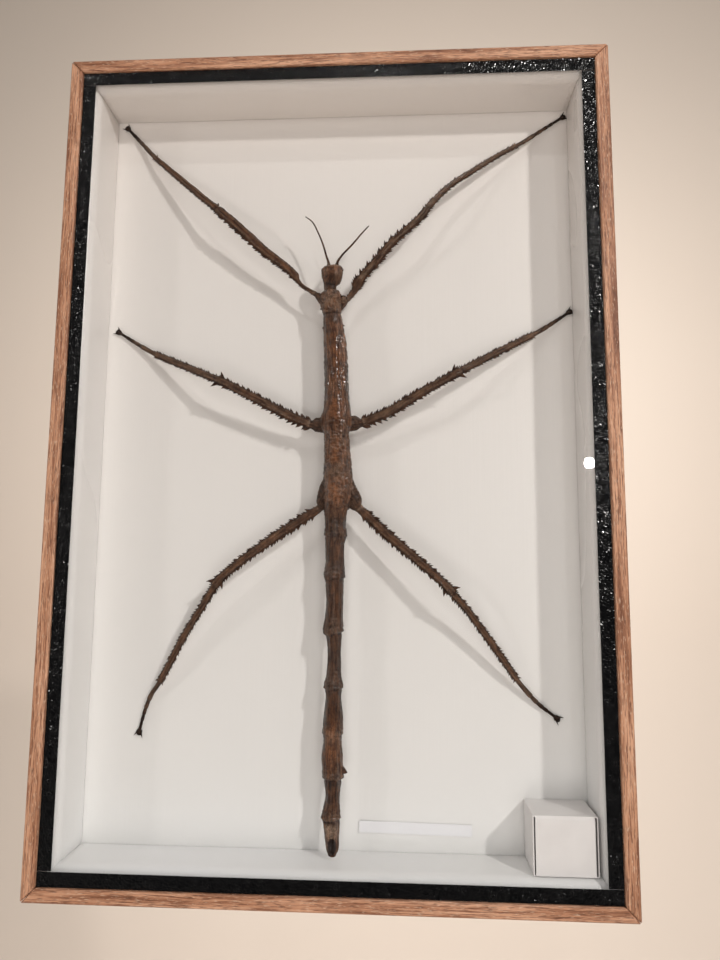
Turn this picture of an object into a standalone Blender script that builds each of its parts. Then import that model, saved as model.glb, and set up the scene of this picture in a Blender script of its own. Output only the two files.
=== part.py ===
# Framed stick insect specimen: a shallow glazed wooden case that hangs on a wall, with a large
# dried female stick insect spread on a white panel, a paper label and a small white card box.
#
# Every place below is in millimetres from the middle of the case, with X to the right, Z up and
# Y towards the wall. The wall is the plane Y = 0 and the case's front looks along -Y. One empty
# carries the whole case, so that the world origin is the point where the case hangs.

import math

import bmesh
import bpy
import numpy as np
from mathutils import Matrix, Vector

for old_object in list(bpy.data.objects):
    bpy.data.objects.remove(old_object, do_unlink=True)

MM = 0.001
GAP = 0.3

# Case
CASE_WIDTH = 240.0
CASE_HEIGHT = 360.0
CASE_DEPTH = 38.0
RAIL_FACE = 5.6
RAIL_ROUNDING = 0.5

# Glazing, from the case's front plane inwards
GLASS_RECESS = 0.8
TAPE_WIDTH = 5.7
TAPE_THICKNESS = 0.4
GLASS_THICKNESS = 2.0

# White lining and the panel that the insect stands on
SIDE_LINING = 6.7
END_LINING = 7.7
PANEL_SETBACK = 27.4
PANEL_THICKNESS = 4.5
BACK_BOARD_THICKNESS = 2.5

# Hanger on the back board
HANGER_DROP = 25.0
HANGER_LENGTH = 44.0
HANGER_HEIGHT = 9.0
HANGER_THICKNESS = 0.8
HANGER_STEP = 1.5
HANGER_FOOT = 9.0
HANGER_SLOPE = 3.0
TEETH = 8
TOOTH_DEPTH = 1.6
SCREW_SPACING = 36.0
SCREW_SHANK_RADIUS = 0.9
SCREW_HEAD_RADIUS = 2.0
SCREW_HEAD_HEIGHT = 0.9
SCREW_LENGTH = 2.4
HOLE_OVERRUN = 1.0

# Label and card box on the panel
LABEL_SIZE = (47.3, 4.7)
LABEL_PLACE = (35.8, -156.8)
LABEL_TILT = math.radians(-0.8)
LABEL_THICKNESS = 0.3
CARD_BOX_WIDTH = 25.2
CARD_BOX_HEIGHT = 22.4
CARD_BOX_DEPTH = 21.5
CARD_BOX_SIDE_GAP = 1.1

# Planes worked out from the sizes above
HALF_WIDTH = CASE_WIDTH / 2
HALF_HEIGHT = CASE_HEIGHT / 2
INNER_X = HALF_WIDTH - RAIL_FACE
INNER_Z = HALF_HEIGHT - RAIL_FACE
FRONT_Y = -CASE_DEPTH
TAPE_Y = FRONT_Y + GLASS_RECESS
GLASS_Y = TAPE_Y + TAPE_THICKNESS + GAP
LINING_Y = GLASS_Y + GLASS_THICKNESS + GAP
PANEL_Y = FRONT_Y + PANEL_SETBACK
BOARD_Y = PANEL_Y + PANEL_THICKNESS + GAP
HANGER_Y = BOARD_Y + BACK_BOARD_THICKNESS + GAP
ROOM_X = INNER_X - GAP - SIDE_LINING
ROOM_Z = INNER_Z - GAP - END_LINING

# Insect
BODY_SIDES = 12
HEAD_SIDES = 10
LEG_SIDES = 6
ANTENNA_SIDES = 6
RING_SPACING = 0.35
THORN_BASE = 2.2
THORN_SLANT = 0.35
CLAW_LENGTH = 0.9
CLAW_SETBACK = 1.6
RIGHT, LEFT = 0, 1

case_collection = bpy.data.collections.new("framed_stick_insect_specimen")
bpy.context.scene.collection.children.link(case_collection)
cutter_collection = bpy.data.collections.new("cutters")
bpy.context.scene.collection.children.link(cutter_collection)

case_middle = bpy.data.objects.new("case_middle", None)
case_middle.location = (0.0, 0.0, (HANGER_DROP - HALF_HEIGHT) * MM)
case_collection.objects.link(case_middle)


def finish(name, colour, roughness, metallic=0.0):
    """A Principled material of one colour."""
    surface = bpy.data.materials.new(name)
    surface.use_nodes = True
    shader = surface.node_tree.nodes["Principled BSDF"]
    shader.inputs["Base Color"].default_value = (*colour, 1.0)
    shader.inputs["Roughness"].default_value = roughness
    shader.inputs["Metallic"].default_value = metallic
    return surface


def add_piece(name, bm, surface, smooth=False):
    """Turn a bmesh in millimetres into a named piece of the case."""
    bmesh.ops.recalc_face_normals(bm, faces=bm.faces)
    bmesh.ops.scale(bm, vec=(MM, MM, MM), verts=bm.verts)
    mesh = bpy.data.meshes.new(name)
    bm.to_mesh(mesh)
    bm.free()
    mesh.materials.append(surface)
    if smooth:
        mesh.shade_smooth()
        mesh.set_sharp_from_angle(angle=math.radians(40))
    piece = bpy.data.objects.new(name, mesh)
    piece.parent = case_middle
    case_collection.objects.link(piece)
    return piece


def round_edges(piece, width):
    bevel = piece.modifiers.new("rounded_edges", "BEVEL")
    bevel.width = width * MM
    bevel.segments = 1
    bevel.limit_method = "ANGLE"


def block_bmesh(low, high):
    """A box between two corners."""
    bm = bmesh.new()
    bmesh.ops.create_cube(bm, size=1.0)
    size = Vector(high) - Vector(low)
    bmesh.ops.scale(bm, vec=size, verts=bm.verts)
    bmesh.ops.translate(bm, vec=(Vector(high) + Vector(low)) / 2, verts=bm.verts)
    return bm


def add_block(name, low, high, surface):
    return add_piece(name, block_bmesh(low, high), surface)


def loft_bmesh(rings):
    """One closed skin through rings that all have the same number of points."""
    bm = bmesh.new()
    loops = [[bm.verts.new(point) for point in ring] for ring in rings]
    count = len(rings[0])
    for loop, following in zip(loops, loops[1:]):
        for side in range(count):
            after = (side + 1) % count
            bm.faces.new((loop[side], loop[after], following[after], following[side]))
    bm.faces.new(loops[0])
    bm.faces.new(loops[-1])
    return bm


# Wooden rails, mitred at the four corners

def add_rail(name, length, distance, turn, surface):
    """A rail whose outer face is at a distance from the middle, turned about Y to its side."""
    bm = block_bmesh((-length / 2, FRONT_Y, distance - RAIL_FACE), (length / 2, 0.0, distance))
    for vert in bm.verts:
        mitre = distance - vert.co.z
        vert.co.x -= math.copysign(mitre + GAP / 2, vert.co.x)
    bmesh.ops.rotate(bm, cent=(0, 0, 0), matrix=Matrix.Rotation(turn, 3, "Y"), verts=bm.verts)
    rail = add_piece(name, bm, surface)
    round_edges(rail, RAIL_ROUNDING)


def make_frame():
    wood = finish("reddish_wood", (0.42, 0.21, 0.10), 0.45)
    add_rail("frame_rail_top", CASE_WIDTH, HALF_HEIGHT, 0.0, wood)
    add_rail("frame_rail_bottom", CASE_WIDTH, HALF_HEIGHT, math.pi, wood)
    add_rail("frame_rail_right", CASE_HEIGHT, HALF_WIDTH, math.pi / 2, wood)
    add_rail("frame_rail_left", CASE_HEIGHT, HALF_WIDTH, -math.pi / 2, wood)


# Glass pane, and the black cloth tape that holds its edges

def make_glazing():
    glass = finish("clear_glass", (0.95, 0.97, 0.97), 0.02)
    tape = finish("black_cloth_tape", (0.012, 0.012, 0.013), 0.6)
    reach_x = INNER_X - GAP
    reach_z = INNER_Z - GAP
    add_block("glass_pane", (-reach_x, GLASS_Y, -reach_z),
              (reach_x, GLASS_Y + GLASS_THICKNESS, reach_z), glass)
    near, far = TAPE_Y, TAPE_Y + TAPE_THICKNESS
    for name, side in (("tape_top", 1), ("tape_bottom", -1)):
        edges = sorted((side * reach_z, side * (reach_z - TAPE_WIDTH)))
        add_block(name, (-reach_x, near, edges[0]), (reach_x, far, edges[1]), tape)
    end = reach_z - TAPE_WIDTH - GAP
    for name, side in (("tape_right", 1), ("tape_left", -1)):
        edges = sorted((side * reach_x, side * (reach_x - TAPE_WIDTH)))
        add_block(name, (edges[0], near, -end), (edges[1], far, end), tape)


# White lining, panel and back board

def make_lining():
    lining = finish("white_lining", (0.86, 0.86, 0.85), 0.35)
    reach_x = INNER_X - GAP
    reach_z = INNER_Z - GAP
    near, far = LINING_Y, PANEL_Y - GAP
    for name, side in (("lining_right", 1), ("lining_left", -1)):
        edges = sorted((side * reach_x, side * ROOM_X))
        add_block(name, (edges[0], near, -reach_z), (edges[1], far, reach_z), lining)
    end = ROOM_X - GAP
    for name, side in (("lining_top", 1), ("lining_bottom", -1)):
        edges = sorted((side * reach_z, side * ROOM_Z))
        add_block(name, (-end, near, edges[0]), (end, far, edges[1]), lining)
    panel = finish("white_panel", (0.84, 0.85, 0.86), 0.5)
    add_block("back_panel", (-reach_x, PANEL_Y, -reach_z),
              (reach_x, PANEL_Y + PANEL_THICKNESS, reach_z), panel)


def add_cutter(name, radius, x, z, low_y, high_y):
    """A round cutter along Y."""
    bm = bmesh.new()
    depth = high_y - low_y
    bmesh.ops.create_cone(bm, cap_ends=True, segments=12, radius1=radius, radius2=radius, depth=depth)
    bmesh.ops.rotate(bm, cent=(0, 0, 0), matrix=Matrix.Rotation(math.pi / 2, 3, "X"), verts=bm.verts)
    bmesh.ops.translate(bm, vec=(x, (low_y + high_y) / 2, z), verts=bm.verts)
    bmesh.ops.recalc_face_normals(bm, faces=bm.faces)
    bmesh.ops.scale(bm, vec=(MM, MM, MM), verts=bm.verts)
    mesh = bpy.data.meshes.new(name)
    bm.to_mesh(mesh)
    bm.free()
    cutter = bpy.data.objects.new(name, mesh)
    cutter.parent = case_middle
    cutter.hide_render = True
    cutter.display_type = "WIRE"
    cutter_collection.objects.link(cutter)
    return cutter


def cut(piece, cutter):
    boolean = piece.modifiers.new(cutter.name, "BOOLEAN")
    boolean.operation = "DIFFERENCE"
    boolean.solver = "EXACT"
    boolean.object = cutter


def hanger_rings(top_z):
    """Sections along the toothed strip: flat ends, and a raised middle that clears the board.

    The teeth point down, and the notch in the middle of them is where the case hangs.
    """
    half = HANGER_LENGTH / 2
    foot = half - HANGER_FOOT
    raised = foot - HANGER_SLOPE
    tooth_places = np.linspace(-raised, raised, 2 * TEETH - 1)
    stations = [(-half, 0.0, 0.0), (-foot, 0.0, 0.0)]
    for number, x in enumerate(tooth_places):
        cut_up = TOOTH_DEPTH if number % 2 else 0.0
        stations.append((x, HANGER_STEP, cut_up))
    stations += [(foot, 0.0, 0.0), (half, 0.0, 0.0)]
    rings = []
    for x, step, cut_up in stations:
        near = HANGER_Y + step
        far = near + HANGER_THICKNESS
        bottom = top_z - HANGER_HEIGHT + cut_up
        rings.append([(x, near, top_z), (x, far, top_z), (x, far, bottom), (x, near, bottom)])
    return rings


def add_screw(name, x, z, surface):
    """A small round-head screw, turned from its profile about its own axis."""
    head_base = HANGER_THICKNESS + GAP
    profile = [(0.0, head_base + SCREW_HEAD_HEIGHT),
               (SCREW_HEAD_RADIUS * 0.8, head_base + SCREW_HEAD_HEIGHT * 0.7),
               (SCREW_HEAD_RADIUS, head_base), (SCREW_SHANK_RADIUS, head_base),
               (SCREW_SHANK_RADIUS, -SCREW_LENGTH), (0.0, -SCREW_LENGTH)]
    bm = bmesh.new()
    verts = [bm.verts.new((radius, 0.0, height)) for radius, height in profile]
    for upper, lower in zip(verts, verts[1:]):
        bm.edges.new((upper, lower))
    bmesh.ops.scale(bm, vec=(MM, MM, MM), verts=bm.verts)
    mesh = bpy.data.meshes.new(name)
    bm.to_mesh(mesh)
    bm.free()
    mesh.materials.append(surface)
    screw = bpy.data.objects.new(name, mesh)
    screw.parent = case_middle
    screw.location = (x * MM, HANGER_Y * MM, z * MM)
    screw.rotation_euler = (-math.pi / 2, 0.0, 0.0)
    case_collection.objects.link(screw)
    turn = screw.modifiers.new("turned", "SCREW")
    turn.axis = "Z"
    turn.steps = 12
    turn.render_steps = 12
    turn.use_merge_vertices = True
    turn.merge_threshold = 0.00001


def make_back():
    hardboard = finish("brown_hardboard", (0.20, 0.12, 0.07), 0.8)
    plated_steel = finish("brass_plated_steel", (0.66, 0.50, 0.24), 0.35, 1.0)
    reach_x = INNER_X - GAP
    reach_z = INNER_Z - GAP
    board = add_block("back_board", (-reach_x, BOARD_Y, -reach_z),
                      (reach_x, BOARD_Y + BACK_BOARD_THICKNESS, reach_z), hardboard)
    top_z = HALF_HEIGHT - HANGER_DROP + HANGER_HEIGHT - TOOTH_DEPTH
    hanger = add_piece("sawtooth_hanger", loft_bmesh(hanger_rings(top_z)), plated_steel)
    screw_z = top_z - HANGER_HEIGHT / 2
    for name, side in (("hanger_screw_left", -1), ("hanger_screw_right", 1)):
        x = side * SCREW_SPACING / 2
        hole = add_cutter(name + "_hole", SCREW_SHANK_RADIUS + GAP, x, screw_z,
                          BOARD_Y - GAP / 2, HANGER_Y + HANGER_THICKNESS + HOLE_OVERRUN)
        cut(board, hole)
        cut(hanger, hole)
        add_screw(name, x, screw_z, plated_steel)


# Insect. A spot is a place over the white panel: x and z as everywhere, and a height above it.

def spot(x, z, height):
    return Vector((x, PANEL_Y - height, z))


def ring_at(middle, along, half_width, half_depth, sides):
    """An oval section across a limb that runs along a direction."""
    towards_viewer = Vector((0.0, -1.0, 0.0))
    sideways = along.cross(towards_viewer).normalized()
    outwards = sideways.cross(along).normalized()
    ring = []
    for number in range(sides):
        angle = 2 * math.pi * number / sides
        ring.append(middle + sideways * (half_width * math.cos(angle))
                    + outwards * (half_depth * math.sin(angle)))
    return ring


def distances(route):
    """How far along a limb each of its stations lies."""
    middles = [spot(*station[:3]) for station in route]
    steps = [(after - before).length for before, after in zip(middles, middles[1:])]
    return np.concatenate(([0.0], np.cumsum(steps)))


def limb_bmesh(route, sides, thorns=()):
    """A tapering limb through stations (x, z, height, half width, half depth).

    Each thorn is (distance along the limb, side, height) and grows from one of the two edges:
    RIGHT is the edge to the right of the limb as it runs outwards, and LEFT the other one.
    """
    stations = np.array(route, dtype=float)
    travelled = distances(route)
    length = travelled[-1]

    def at(distance):
        return [float(np.interp(distance, travelled, column)) for column in stations.T]

    places = [(distance, None, 0.0) for distance in travelled]
    for distance, side, height in thorns:
        places.append((distance - THORN_BASE / 2, None, 0.0))
        places.append((distance, side, height))
        places.append((distance + THORN_BASE / 2, None, 0.0))
    places.sort(key=lambda place: place[0])
    kept = []
    for place in places:
        crowded = kept and place[0] - kept[-1][0] < RING_SPACING
        if crowded and place[1] is None and place[0] < length:
            continue
        if crowded and kept[-1][1] is None and len(kept) > 1:
            kept.pop()
        kept.append(place)

    rings = []
    for distance, side, height in kept:
        x, z, lift, half_width, half_depth = at(distance)
        ahead = spot(*at(min(distance + 1.0, length))[:3])
        behind = spot(*at(max(distance - 1.0, 0.0))[:3])
        along = (ahead - behind).normalized()
        middle = spot(x, z, lift)
        ring = ring_at(middle, along, half_width, half_depth, sides)
        if side is not None:
            corner = 0 if side == RIGHT else sides // 2
            outward = (ring[corner] - middle).normalized()
            ring[corner] = ring[corner] + outward * height + along * (height * THORN_SLANT)
        rings.append(ring)
    return loft_bmesh(rings)


def thorn_row(route, first, last, count, side, first_height, last_height):
    """Thorns evenly spaced from one station of a limb to a later one."""
    travelled = distances(route)
    return [(travelled[first] + (travelled[last] - travelled[first]) * share, side,
             first_height + (last_height - first_height) * share)
            for share in np.linspace(0.0, 1.0, count)]


def thorn_at(route, station, side, height, beyond=0.0):
    """One thorn, a little beyond a station of a limb."""
    return (distances(route)[station] + beyond, side, height)


def claws(route):
    """The pair of claws just before a limb's tip."""
    return [thorn_at(route, -1, side, CLAW_LENGTH, -CLAW_SETBACK) for side in (RIGHT, LEFT)]


# Stations of the body from neck to tail: x, z, height, half width, half depth
THORAX = [
    (-1.7, 74.9, 12.4, 2.6, 2.3), (-1.6, 73.8, 12.4, 4.0, 3.4), (-1.5, 71.6, 12.3, 4.6, 3.9),
    (-1.4, 69.9, 12.2, 4.9, 4.2), (-1.2, 67.2, 12.2, 4.5, 4.0), (-1.0, 65.2, 12.1, 4.0, 3.6),
    (-0.9, 63.6, 12.1, 3.7, 3.4), (-0.7, 62.2, 12.1, 4.4, 3.9), (-0.3, 58.5, 12.1, 4.7, 4.2),
    (0.7, 49.3, 12.0, 5.3, 4.8), (1.1, 39.7, 12.0, 5.3, 4.9), (1.6, 27.0, 12.0, 5.5, 5.0),
    (1.8, 19.6, 12.0, 6.0, 5.2), (1.6, 16.6, 12.0, 7.0, 5.2), (1.6, 13.6, 12.0, 7.0, 5.2),
    (1.8, 9.5, 12.0, 6.3, 5.3), (2.1, 2.1, 12.0, 6.1, 5.3), (2.5, -8.0, 12.0, 6.3, 5.4),
    (2.6, -14.0, 12.0, 6.2, 5.3), (2.4, -19.5, 12.0, 6.0, 5.0), (1.7, -23.4, 12.0, 4.9, 4.3),
]
ABDOMEN = [
    (1.7, -30.8, 12.0, 4.2, 3.8), (1.9, -33.6, 12.0, 4.5, 4.1), (1.8, -35.6, 12.0, 4.3, 3.9),
    (1.5, -37.6, 12.0, 3.8, 3.5), (1.5, -44.9, 12.0, 3.7, 3.4), (1.4, -49.0, 12.0, 4.1, 3.7),
    (1.4, -51.8, 12.0, 4.3, 3.9), (1.5, -54.2, 12.0, 3.7, 3.4), (1.7, -62.0, 12.0, 3.5, 3.3),
    (1.5, -68.5, 12.0, 3.6, 3.4), (1.3, -74.3, 12.0, 4.1, 3.7), (1.6, -77.0, 12.0, 3.4, 3.1),
    (1.9, -84.6, 12.0, 3.0, 2.9), (1.7, -92.0, 12.0, 3.3, 3.1), (1.5, -97.3, 12.0, 3.6, 3.3),
    (1.6, -101.0, 12.0, 3.4, 3.1), (1.6, -108.5, 12.0, 3.6, 3.3), (1.5, -115.8, 12.0, 3.9, 3.5),
    (1.5, -118.4, 12.0, 3.8, 3.4), (1.4, -125.6, 12.0, 4.1, 3.5), (1.7, -130.5, 12.0, 3.9, 3.4),
    (1.8, -133.4, 12.0, 3.9, 3.4), (1.8, -135.2, 12.0, 3.2, 3.0), (1.7, -141.0, 12.0, 3.0, 2.9),
    (1.2, -147.6, 12.0, 3.4, 3.1), (1.1, -149.6, 12.0, 3.6, 3.2), (1.3, -151.6, 12.0, 3.1, 2.8),
    (1.6, -157.2, 11.9, 2.6, 2.3), (1.9, -161.2, 11.8, 2.3, 1.9), (1.8, -164.6, 11.7, 1.1, 0.9),
]
ABDOMEN_BAND = 19
HEAD = [
    (-1.7, 75.4, 12.4, 2.4, 2.1), (-1.6, 77.0, 12.6, 3.5, 3.0), (-1.1, 80.2, 13.0, 4.5, 3.4),
    (-0.9, 82.6, 13.1, 5.0, 3.6), (-0.8, 85.0, 13.1, 4.3, 3.2), (-0.7, 87.0, 13.0, 2.8, 2.2),
]

ANTENNA_LEFT = [
    (-2.7, 87.6, 13.3, 0.9, 0.9), (-3.6, 90.4, 13.6, 0.7, 0.7), (-5.1, 95.6, 14.0, 0.6, 0.6),
    (-7.6, 101.8, 14.0, 0.5, 0.5), (-10.1, 106.6, 14.0, 0.45, 0.45), (-13.3, 109.3, 14.0, 0.3, 0.3),
]
ANTENNA_RIGHT = [
    (1.3, 87.6, 13.3, 0.9, 0.9), (3.1, 90.5, 13.6, 0.7, 0.7), (8.0, 95.7, 14.0, 0.6, 0.6),
    (12.1, 100.7, 14.0, 0.5, 0.5), (15.3, 104.3, 14.0, 0.35, 0.35),
]

# Legs from the body outwards: x, z, height, half width, half depth
FRONT_LEG_LEFT = [
    (-7.4, 73.5, 11.2, 1.5, 1.5), (-11.3, 76.1, 10.6, 1.1, 1.1), (-14.4, 78.0, 10.6, 1.0, 1.0),
    (-16.8, 80.6, 10.8, 1.2, 1.2), (-18.2, 82.8, 11.2, 2.3, 1.4), (-31.6, 93.7, 13.0, 2.7, 1.4),
    (-41.8, 103.0, 14.0, 2.5, 1.4), (-50.8, 110.9, 15.0, 2.3, 1.6), (-54.4, 114.0, 14.6, 2.0, 1.6),
    (-57.0, 116.4, 13.8, 1.7, 1.3), (-70.9, 129.6, 9.8, 1.6, 1.2), (-85.8, 144.0, 5.2, 1.2, 0.9),
    (-88.3, 146.6, 4.2, 1.1, 0.8), (-93.7, 152.9, 2.4, 0.9, 0.7), (-98.8, 158.7, 1.4, 0.8, 0.6),
    (-103.0, 163.4, 0.9, 0.5, 0.5),
]
FRONT_LEG_RIGHT = [
    (4.8, 71.2, 11.2, 1.4, 1.5), (7.4, 73.4, 10.6, 1.0, 1.1), (9.4, 76.0, 10.6, 0.9, 1.0),
    (10.2, 78.2, 10.8, 1.1, 1.1), (11.6, 80.4, 11.4, 1.9, 1.5), (19.0, 88.4, 13.0, 2.0, 1.5),
    (25.2, 95.7, 14.0, 1.9, 1.5), (32.0, 101.6, 14.8, 1.8, 1.5), (39.4, 108.5, 15.0, 2.0, 1.6),
    (42.0, 112.4, 14.6, 1.7, 1.4), (44.9, 116.0, 14.0, 1.5, 1.3), (52.1, 123.9, 12.0, 1.4, 1.2),
    (62.6, 132.4, 9.0, 1.3, 1.1), (78.5, 143.9, 5.5, 1.1, 0.9), (86.0, 148.9, 3.5, 0.9, 0.7),
    (94.8, 155.5, 1.6, 0.8, 0.6), (105.9, 163.0, 0.9, 0.5, 0.5),
]
MIDDLE_LEG_LEFT = [
    (-6.6, 14.2, 10.4, 1.7, 1.8), (-10.2, 14.4, 10.4, 1.5, 1.5), (-12.6, 15.2, 10.8, 2.2, 1.8),
    (-18.9, 17.9, 12.0, 2.4, 1.9), (-33.2, 25.0, 14.0, 2.2, 1.8), (-46.6, 31.6, 15.8, 2.0, 1.9),
    (-49.6, 33.0, 16.0, 2.2, 2.0), (-53.6, 34.8, 14.8, 1.8, 1.5), (-68.0, 41.7, 9.6, 1.7, 1.3),
    (-81.4, 48.1, 4.6, 1.5, 1.2), (-83.8, 49.3, 3.8, 1.1, 0.9), (-93.0, 54.8, 1.8, 0.9, 0.7),
    (-102.5, 60.9, 0.9, 0.5, 0.5),
]
MIDDLE_LEG_RIGHT = [
    (9.7, 14.9, 10.4, 1.7, 1.8), (12.4, 15.2, 10.4, 1.5, 1.5), (15.0, 15.9, 10.8, 2.2, 1.8),
    (22.6, 18.6, 12.0, 2.4, 1.9), (37.2, 26.7, 14.0, 2.2, 1.8), (50.8, 34.0, 15.8, 2.0, 1.9),
    (53.8, 35.6, 16.0, 2.2, 2.0), (57.6, 37.9, 14.8, 1.8, 1.5), (73.0, 47.0, 9.6, 1.7, 1.3),
    (87.2, 55.3, 4.6, 1.5, 1.2), (89.5, 56.6, 3.8, 1.1, 0.9), (98.4, 62.5, 1.8, 0.9, 0.7),
    (106.3, 68.0, 0.9, 0.5, 0.5),
]
HIND_LEG_LEFT = [
    (-4.9, -14.6, 11.0, 0.8, 1.4), (-5.7, -18.4, 10.6, 1.4, 1.9), (-6.9, -21.8, 10.2, 1.7, 1.9),
    (-8.8, -24.6, 10.4, 1.5, 1.5), (-11.2, -26.4, 10.8, 2.1, 1.8),
    (-18.3, -31.1, 11.8, 2.3, 1.9), (-30.3, -39.5, 13.6, 2.1, 1.8), (-45.2, -51.4, 15.0, 2.0, 1.9),
    (-48.0, -54.2, 15.0, 2.2, 2.0), (-50.2, -57.4, 14.2, 1.8, 1.5), (-56.0, -66.5, 12.0, 1.6, 1.4),
    (-62.4, -75.9, 9.2, 1.6, 1.3), (-73.8, -96.0, 4.6, 1.5, 1.2), (-75.4, -98.6, 3.9, 1.1, 0.9),
    (-79.1, -104.0, 2.6, 0.9, 0.8), (-81.8, -110.8, 1.6, 0.8, 0.6), (-84.3, -120.1, 0.9, 0.5, 0.5),
]
HIND_LEG_RIGHT = [
    (10.0, -13.6, 11.0, 0.8, 1.4), (10.9, -17.2, 10.6, 1.5, 1.9), (12.2, -20.8, 10.2, 1.8, 1.9),
    (13.6, -23.6, 10.4, 1.5, 1.5), (15.6, -26.0, 10.8, 2.1, 1.8),
    (23.3, -33.4, 11.8, 2.3, 1.9), (35.6, -43.8, 13.6, 2.1, 1.8), (47.0, -53.7, 15.0, 2.0, 1.9),
    (49.6, -56.4, 15.0, 2.2, 2.0), (52.4, -59.6, 14.2, 1.8, 1.5), (58.0, -66.0, 12.0, 1.6, 1.4),
    (65.7, -76.3, 9.2, 1.6, 1.3), (77.6, -92.9, 4.6, 1.5, 1.2), (79.2, -95.2, 3.9, 1.1, 0.9),
    (87.8, -104.6, 1.7, 0.9, 0.6), (96.1, -111.0, 0.9, 0.5, 0.5),
]


def make_insect():
    shell = finish("varnished_brown_shell", (0.13, 0.045, 0.015), 0.3)
    leg_shell = finish("brown_leg_shell", (0.16, 0.06, 0.02), 0.35)

    def add_limb(name, route, sides, thorns, surface):
        add_piece(name, limb_bmesh(route, sides, thorns), surface, smooth=True)

    body = THORAX + ABDOMEN
    tail_band = len(THORAX) + ABDOMEN_BAND
    body_thorns = [thorn_at(body, 4, RIGHT, 0.7), thorn_at(body, 4, LEFT, 0.7),
                   thorn_at(body, 8, RIGHT, 0.7), thorn_at(body, 8, LEFT, 0.7),
                   thorn_at(body, tail_band, LEFT, 1.4), thorn_at(body, tail_band, RIGHT, 0.8)]
    add_limb("insect_body", body, BODY_SIDES, body_thorns, shell)
    add_limb("insect_head", HEAD, HEAD_SIDES, [thorn_at(HEAD, 4, RIGHT, 1.3)], shell)
    add_limb("antenna_left", ANTENNA_LEFT, ANTENNA_SIDES, (), leg_shell)
    add_limb("antenna_right", ANTENNA_RIGHT, ANTENNA_SIDES, (), leg_shell)

    # On the left front leg, the lower edge is the leg's left one as it runs outwards
    front = FRONT_LEG_LEFT
    thorns = thorn_row(front, 4, 7, 11, LEFT, 1.3, 1.0) + [thorn_at(front, 8, RIGHT, 0.7)]
    add_limb("front_leg_left", front, LEG_SIDES, thorns + claws(front), leg_shell)

    front = FRONT_LEG_RIGHT
    thorns = (thorn_row(front, 4, 8, 9, RIGHT, 2.2, 1.0) + thorn_row(front, 4, 7, 8, LEFT, 2.0, 1.2)
              + thorn_row(front, 11, 14, 5, RIGHT, 0.8, 0.6))
    add_limb("front_leg_right", front, LEG_SIDES, thorns + claws(front), leg_shell)

    # A pair of legs has its thorns on mirrored edges
    for name, leg, low, high in (("middle_leg_left", MIDDLE_LEG_LEFT, LEFT, RIGHT),
                                 ("middle_leg_right", MIDDLE_LEG_RIGHT, RIGHT, LEFT)):
        thorns = (thorn_row(leg, 2, 4, 6, low, 2.4, 1.1) + thorn_row(leg, 3, 5, 6, high, 1.0, 0.8)
                  + [thorn_at(leg, 5, low, 1.3), thorn_at(leg, 6, low, 2.4, 0.8)]
                  + [thorn_at(leg, 6, high, 2.4, -0.4)]
                  + thorn_row(leg, 7, 9, 4, low, 0.7, 0.5) + thorn_row(leg, 8, 10, 3, high, 0.7, 0.5))
        add_limb(name, leg, LEG_SIDES, thorns + claws(leg), leg_shell)

    for name, leg, low, high in (("hind_leg_left", HIND_LEG_LEFT, LEFT, RIGHT),
                                 ("hind_leg_right", HIND_LEG_RIGHT, RIGHT, LEFT)):
        thorns = (thorn_row(leg, 5, 7, 7, low, 1.4, 0.8) + thorn_row(leg, 4, 6, 7, high, 1.4, 0.8)
                  + [thorn_at(leg, 8, low, 2.0, -0.6), thorn_at(leg, 8, high, 2.6, 1.2)]
                  + thorn_row(leg, 10, 12, 6, low, 0.8, 0.5) + thorn_row(leg, 10, 12, 5, high, 0.8, 0.5))
        add_limb(name, leg, LEG_SIDES, thorns + claws(leg), leg_shell)


# Paper label and small card box

def make_paper():
    paper = finish("label_paper", (0.80, 0.80, 0.86), 0.8)
    card = finish("white_card", (0.85, 0.85, 0.84), 0.6)
    half_x, half_z = LABEL_SIZE[0] / 2, LABEL_SIZE[1] / 2
    label_y = PANEL_Y - GAP
    bm = block_bmesh((-half_x, label_y - LABEL_THICKNESS, -half_z), (half_x, label_y, half_z))
    bmesh.ops.rotate(bm, cent=(0, 0, 0), matrix=Matrix.Rotation(-LABEL_TILT, 3, "Y"), verts=bm.verts)
    bmesh.ops.translate(bm, vec=(LABEL_PLACE[0], 0.0, LABEL_PLACE[1]), verts=bm.verts)
    add_piece("paper_label", bm, paper)

    right = ROOM_X - CARD_BOX_SIDE_GAP
    bottom = -ROOM_Z + GAP
    add_block("card_box", (right - CARD_BOX_WIDTH, PANEL_Y - GAP - CARD_BOX_DEPTH, bottom),
              (right, PANEL_Y - GAP, bottom + CARD_BOX_HEIGHT), card)


make_frame()
make_glazing()
make_lining()
make_back()
make_insect()
make_paper()
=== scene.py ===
# %% [markdown]
# # A framed stick insect, dressed for its picture
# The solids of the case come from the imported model, and they stay where they are. This lesson gives
# each of them its finish, and puts a finely grown insect, cloth tape, a folded card box and a paper
# slip in place of the plain solids that stand for them.

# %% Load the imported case
import math

import bmesh
import bpy
import numpy as np
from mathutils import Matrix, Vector, noise


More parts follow.
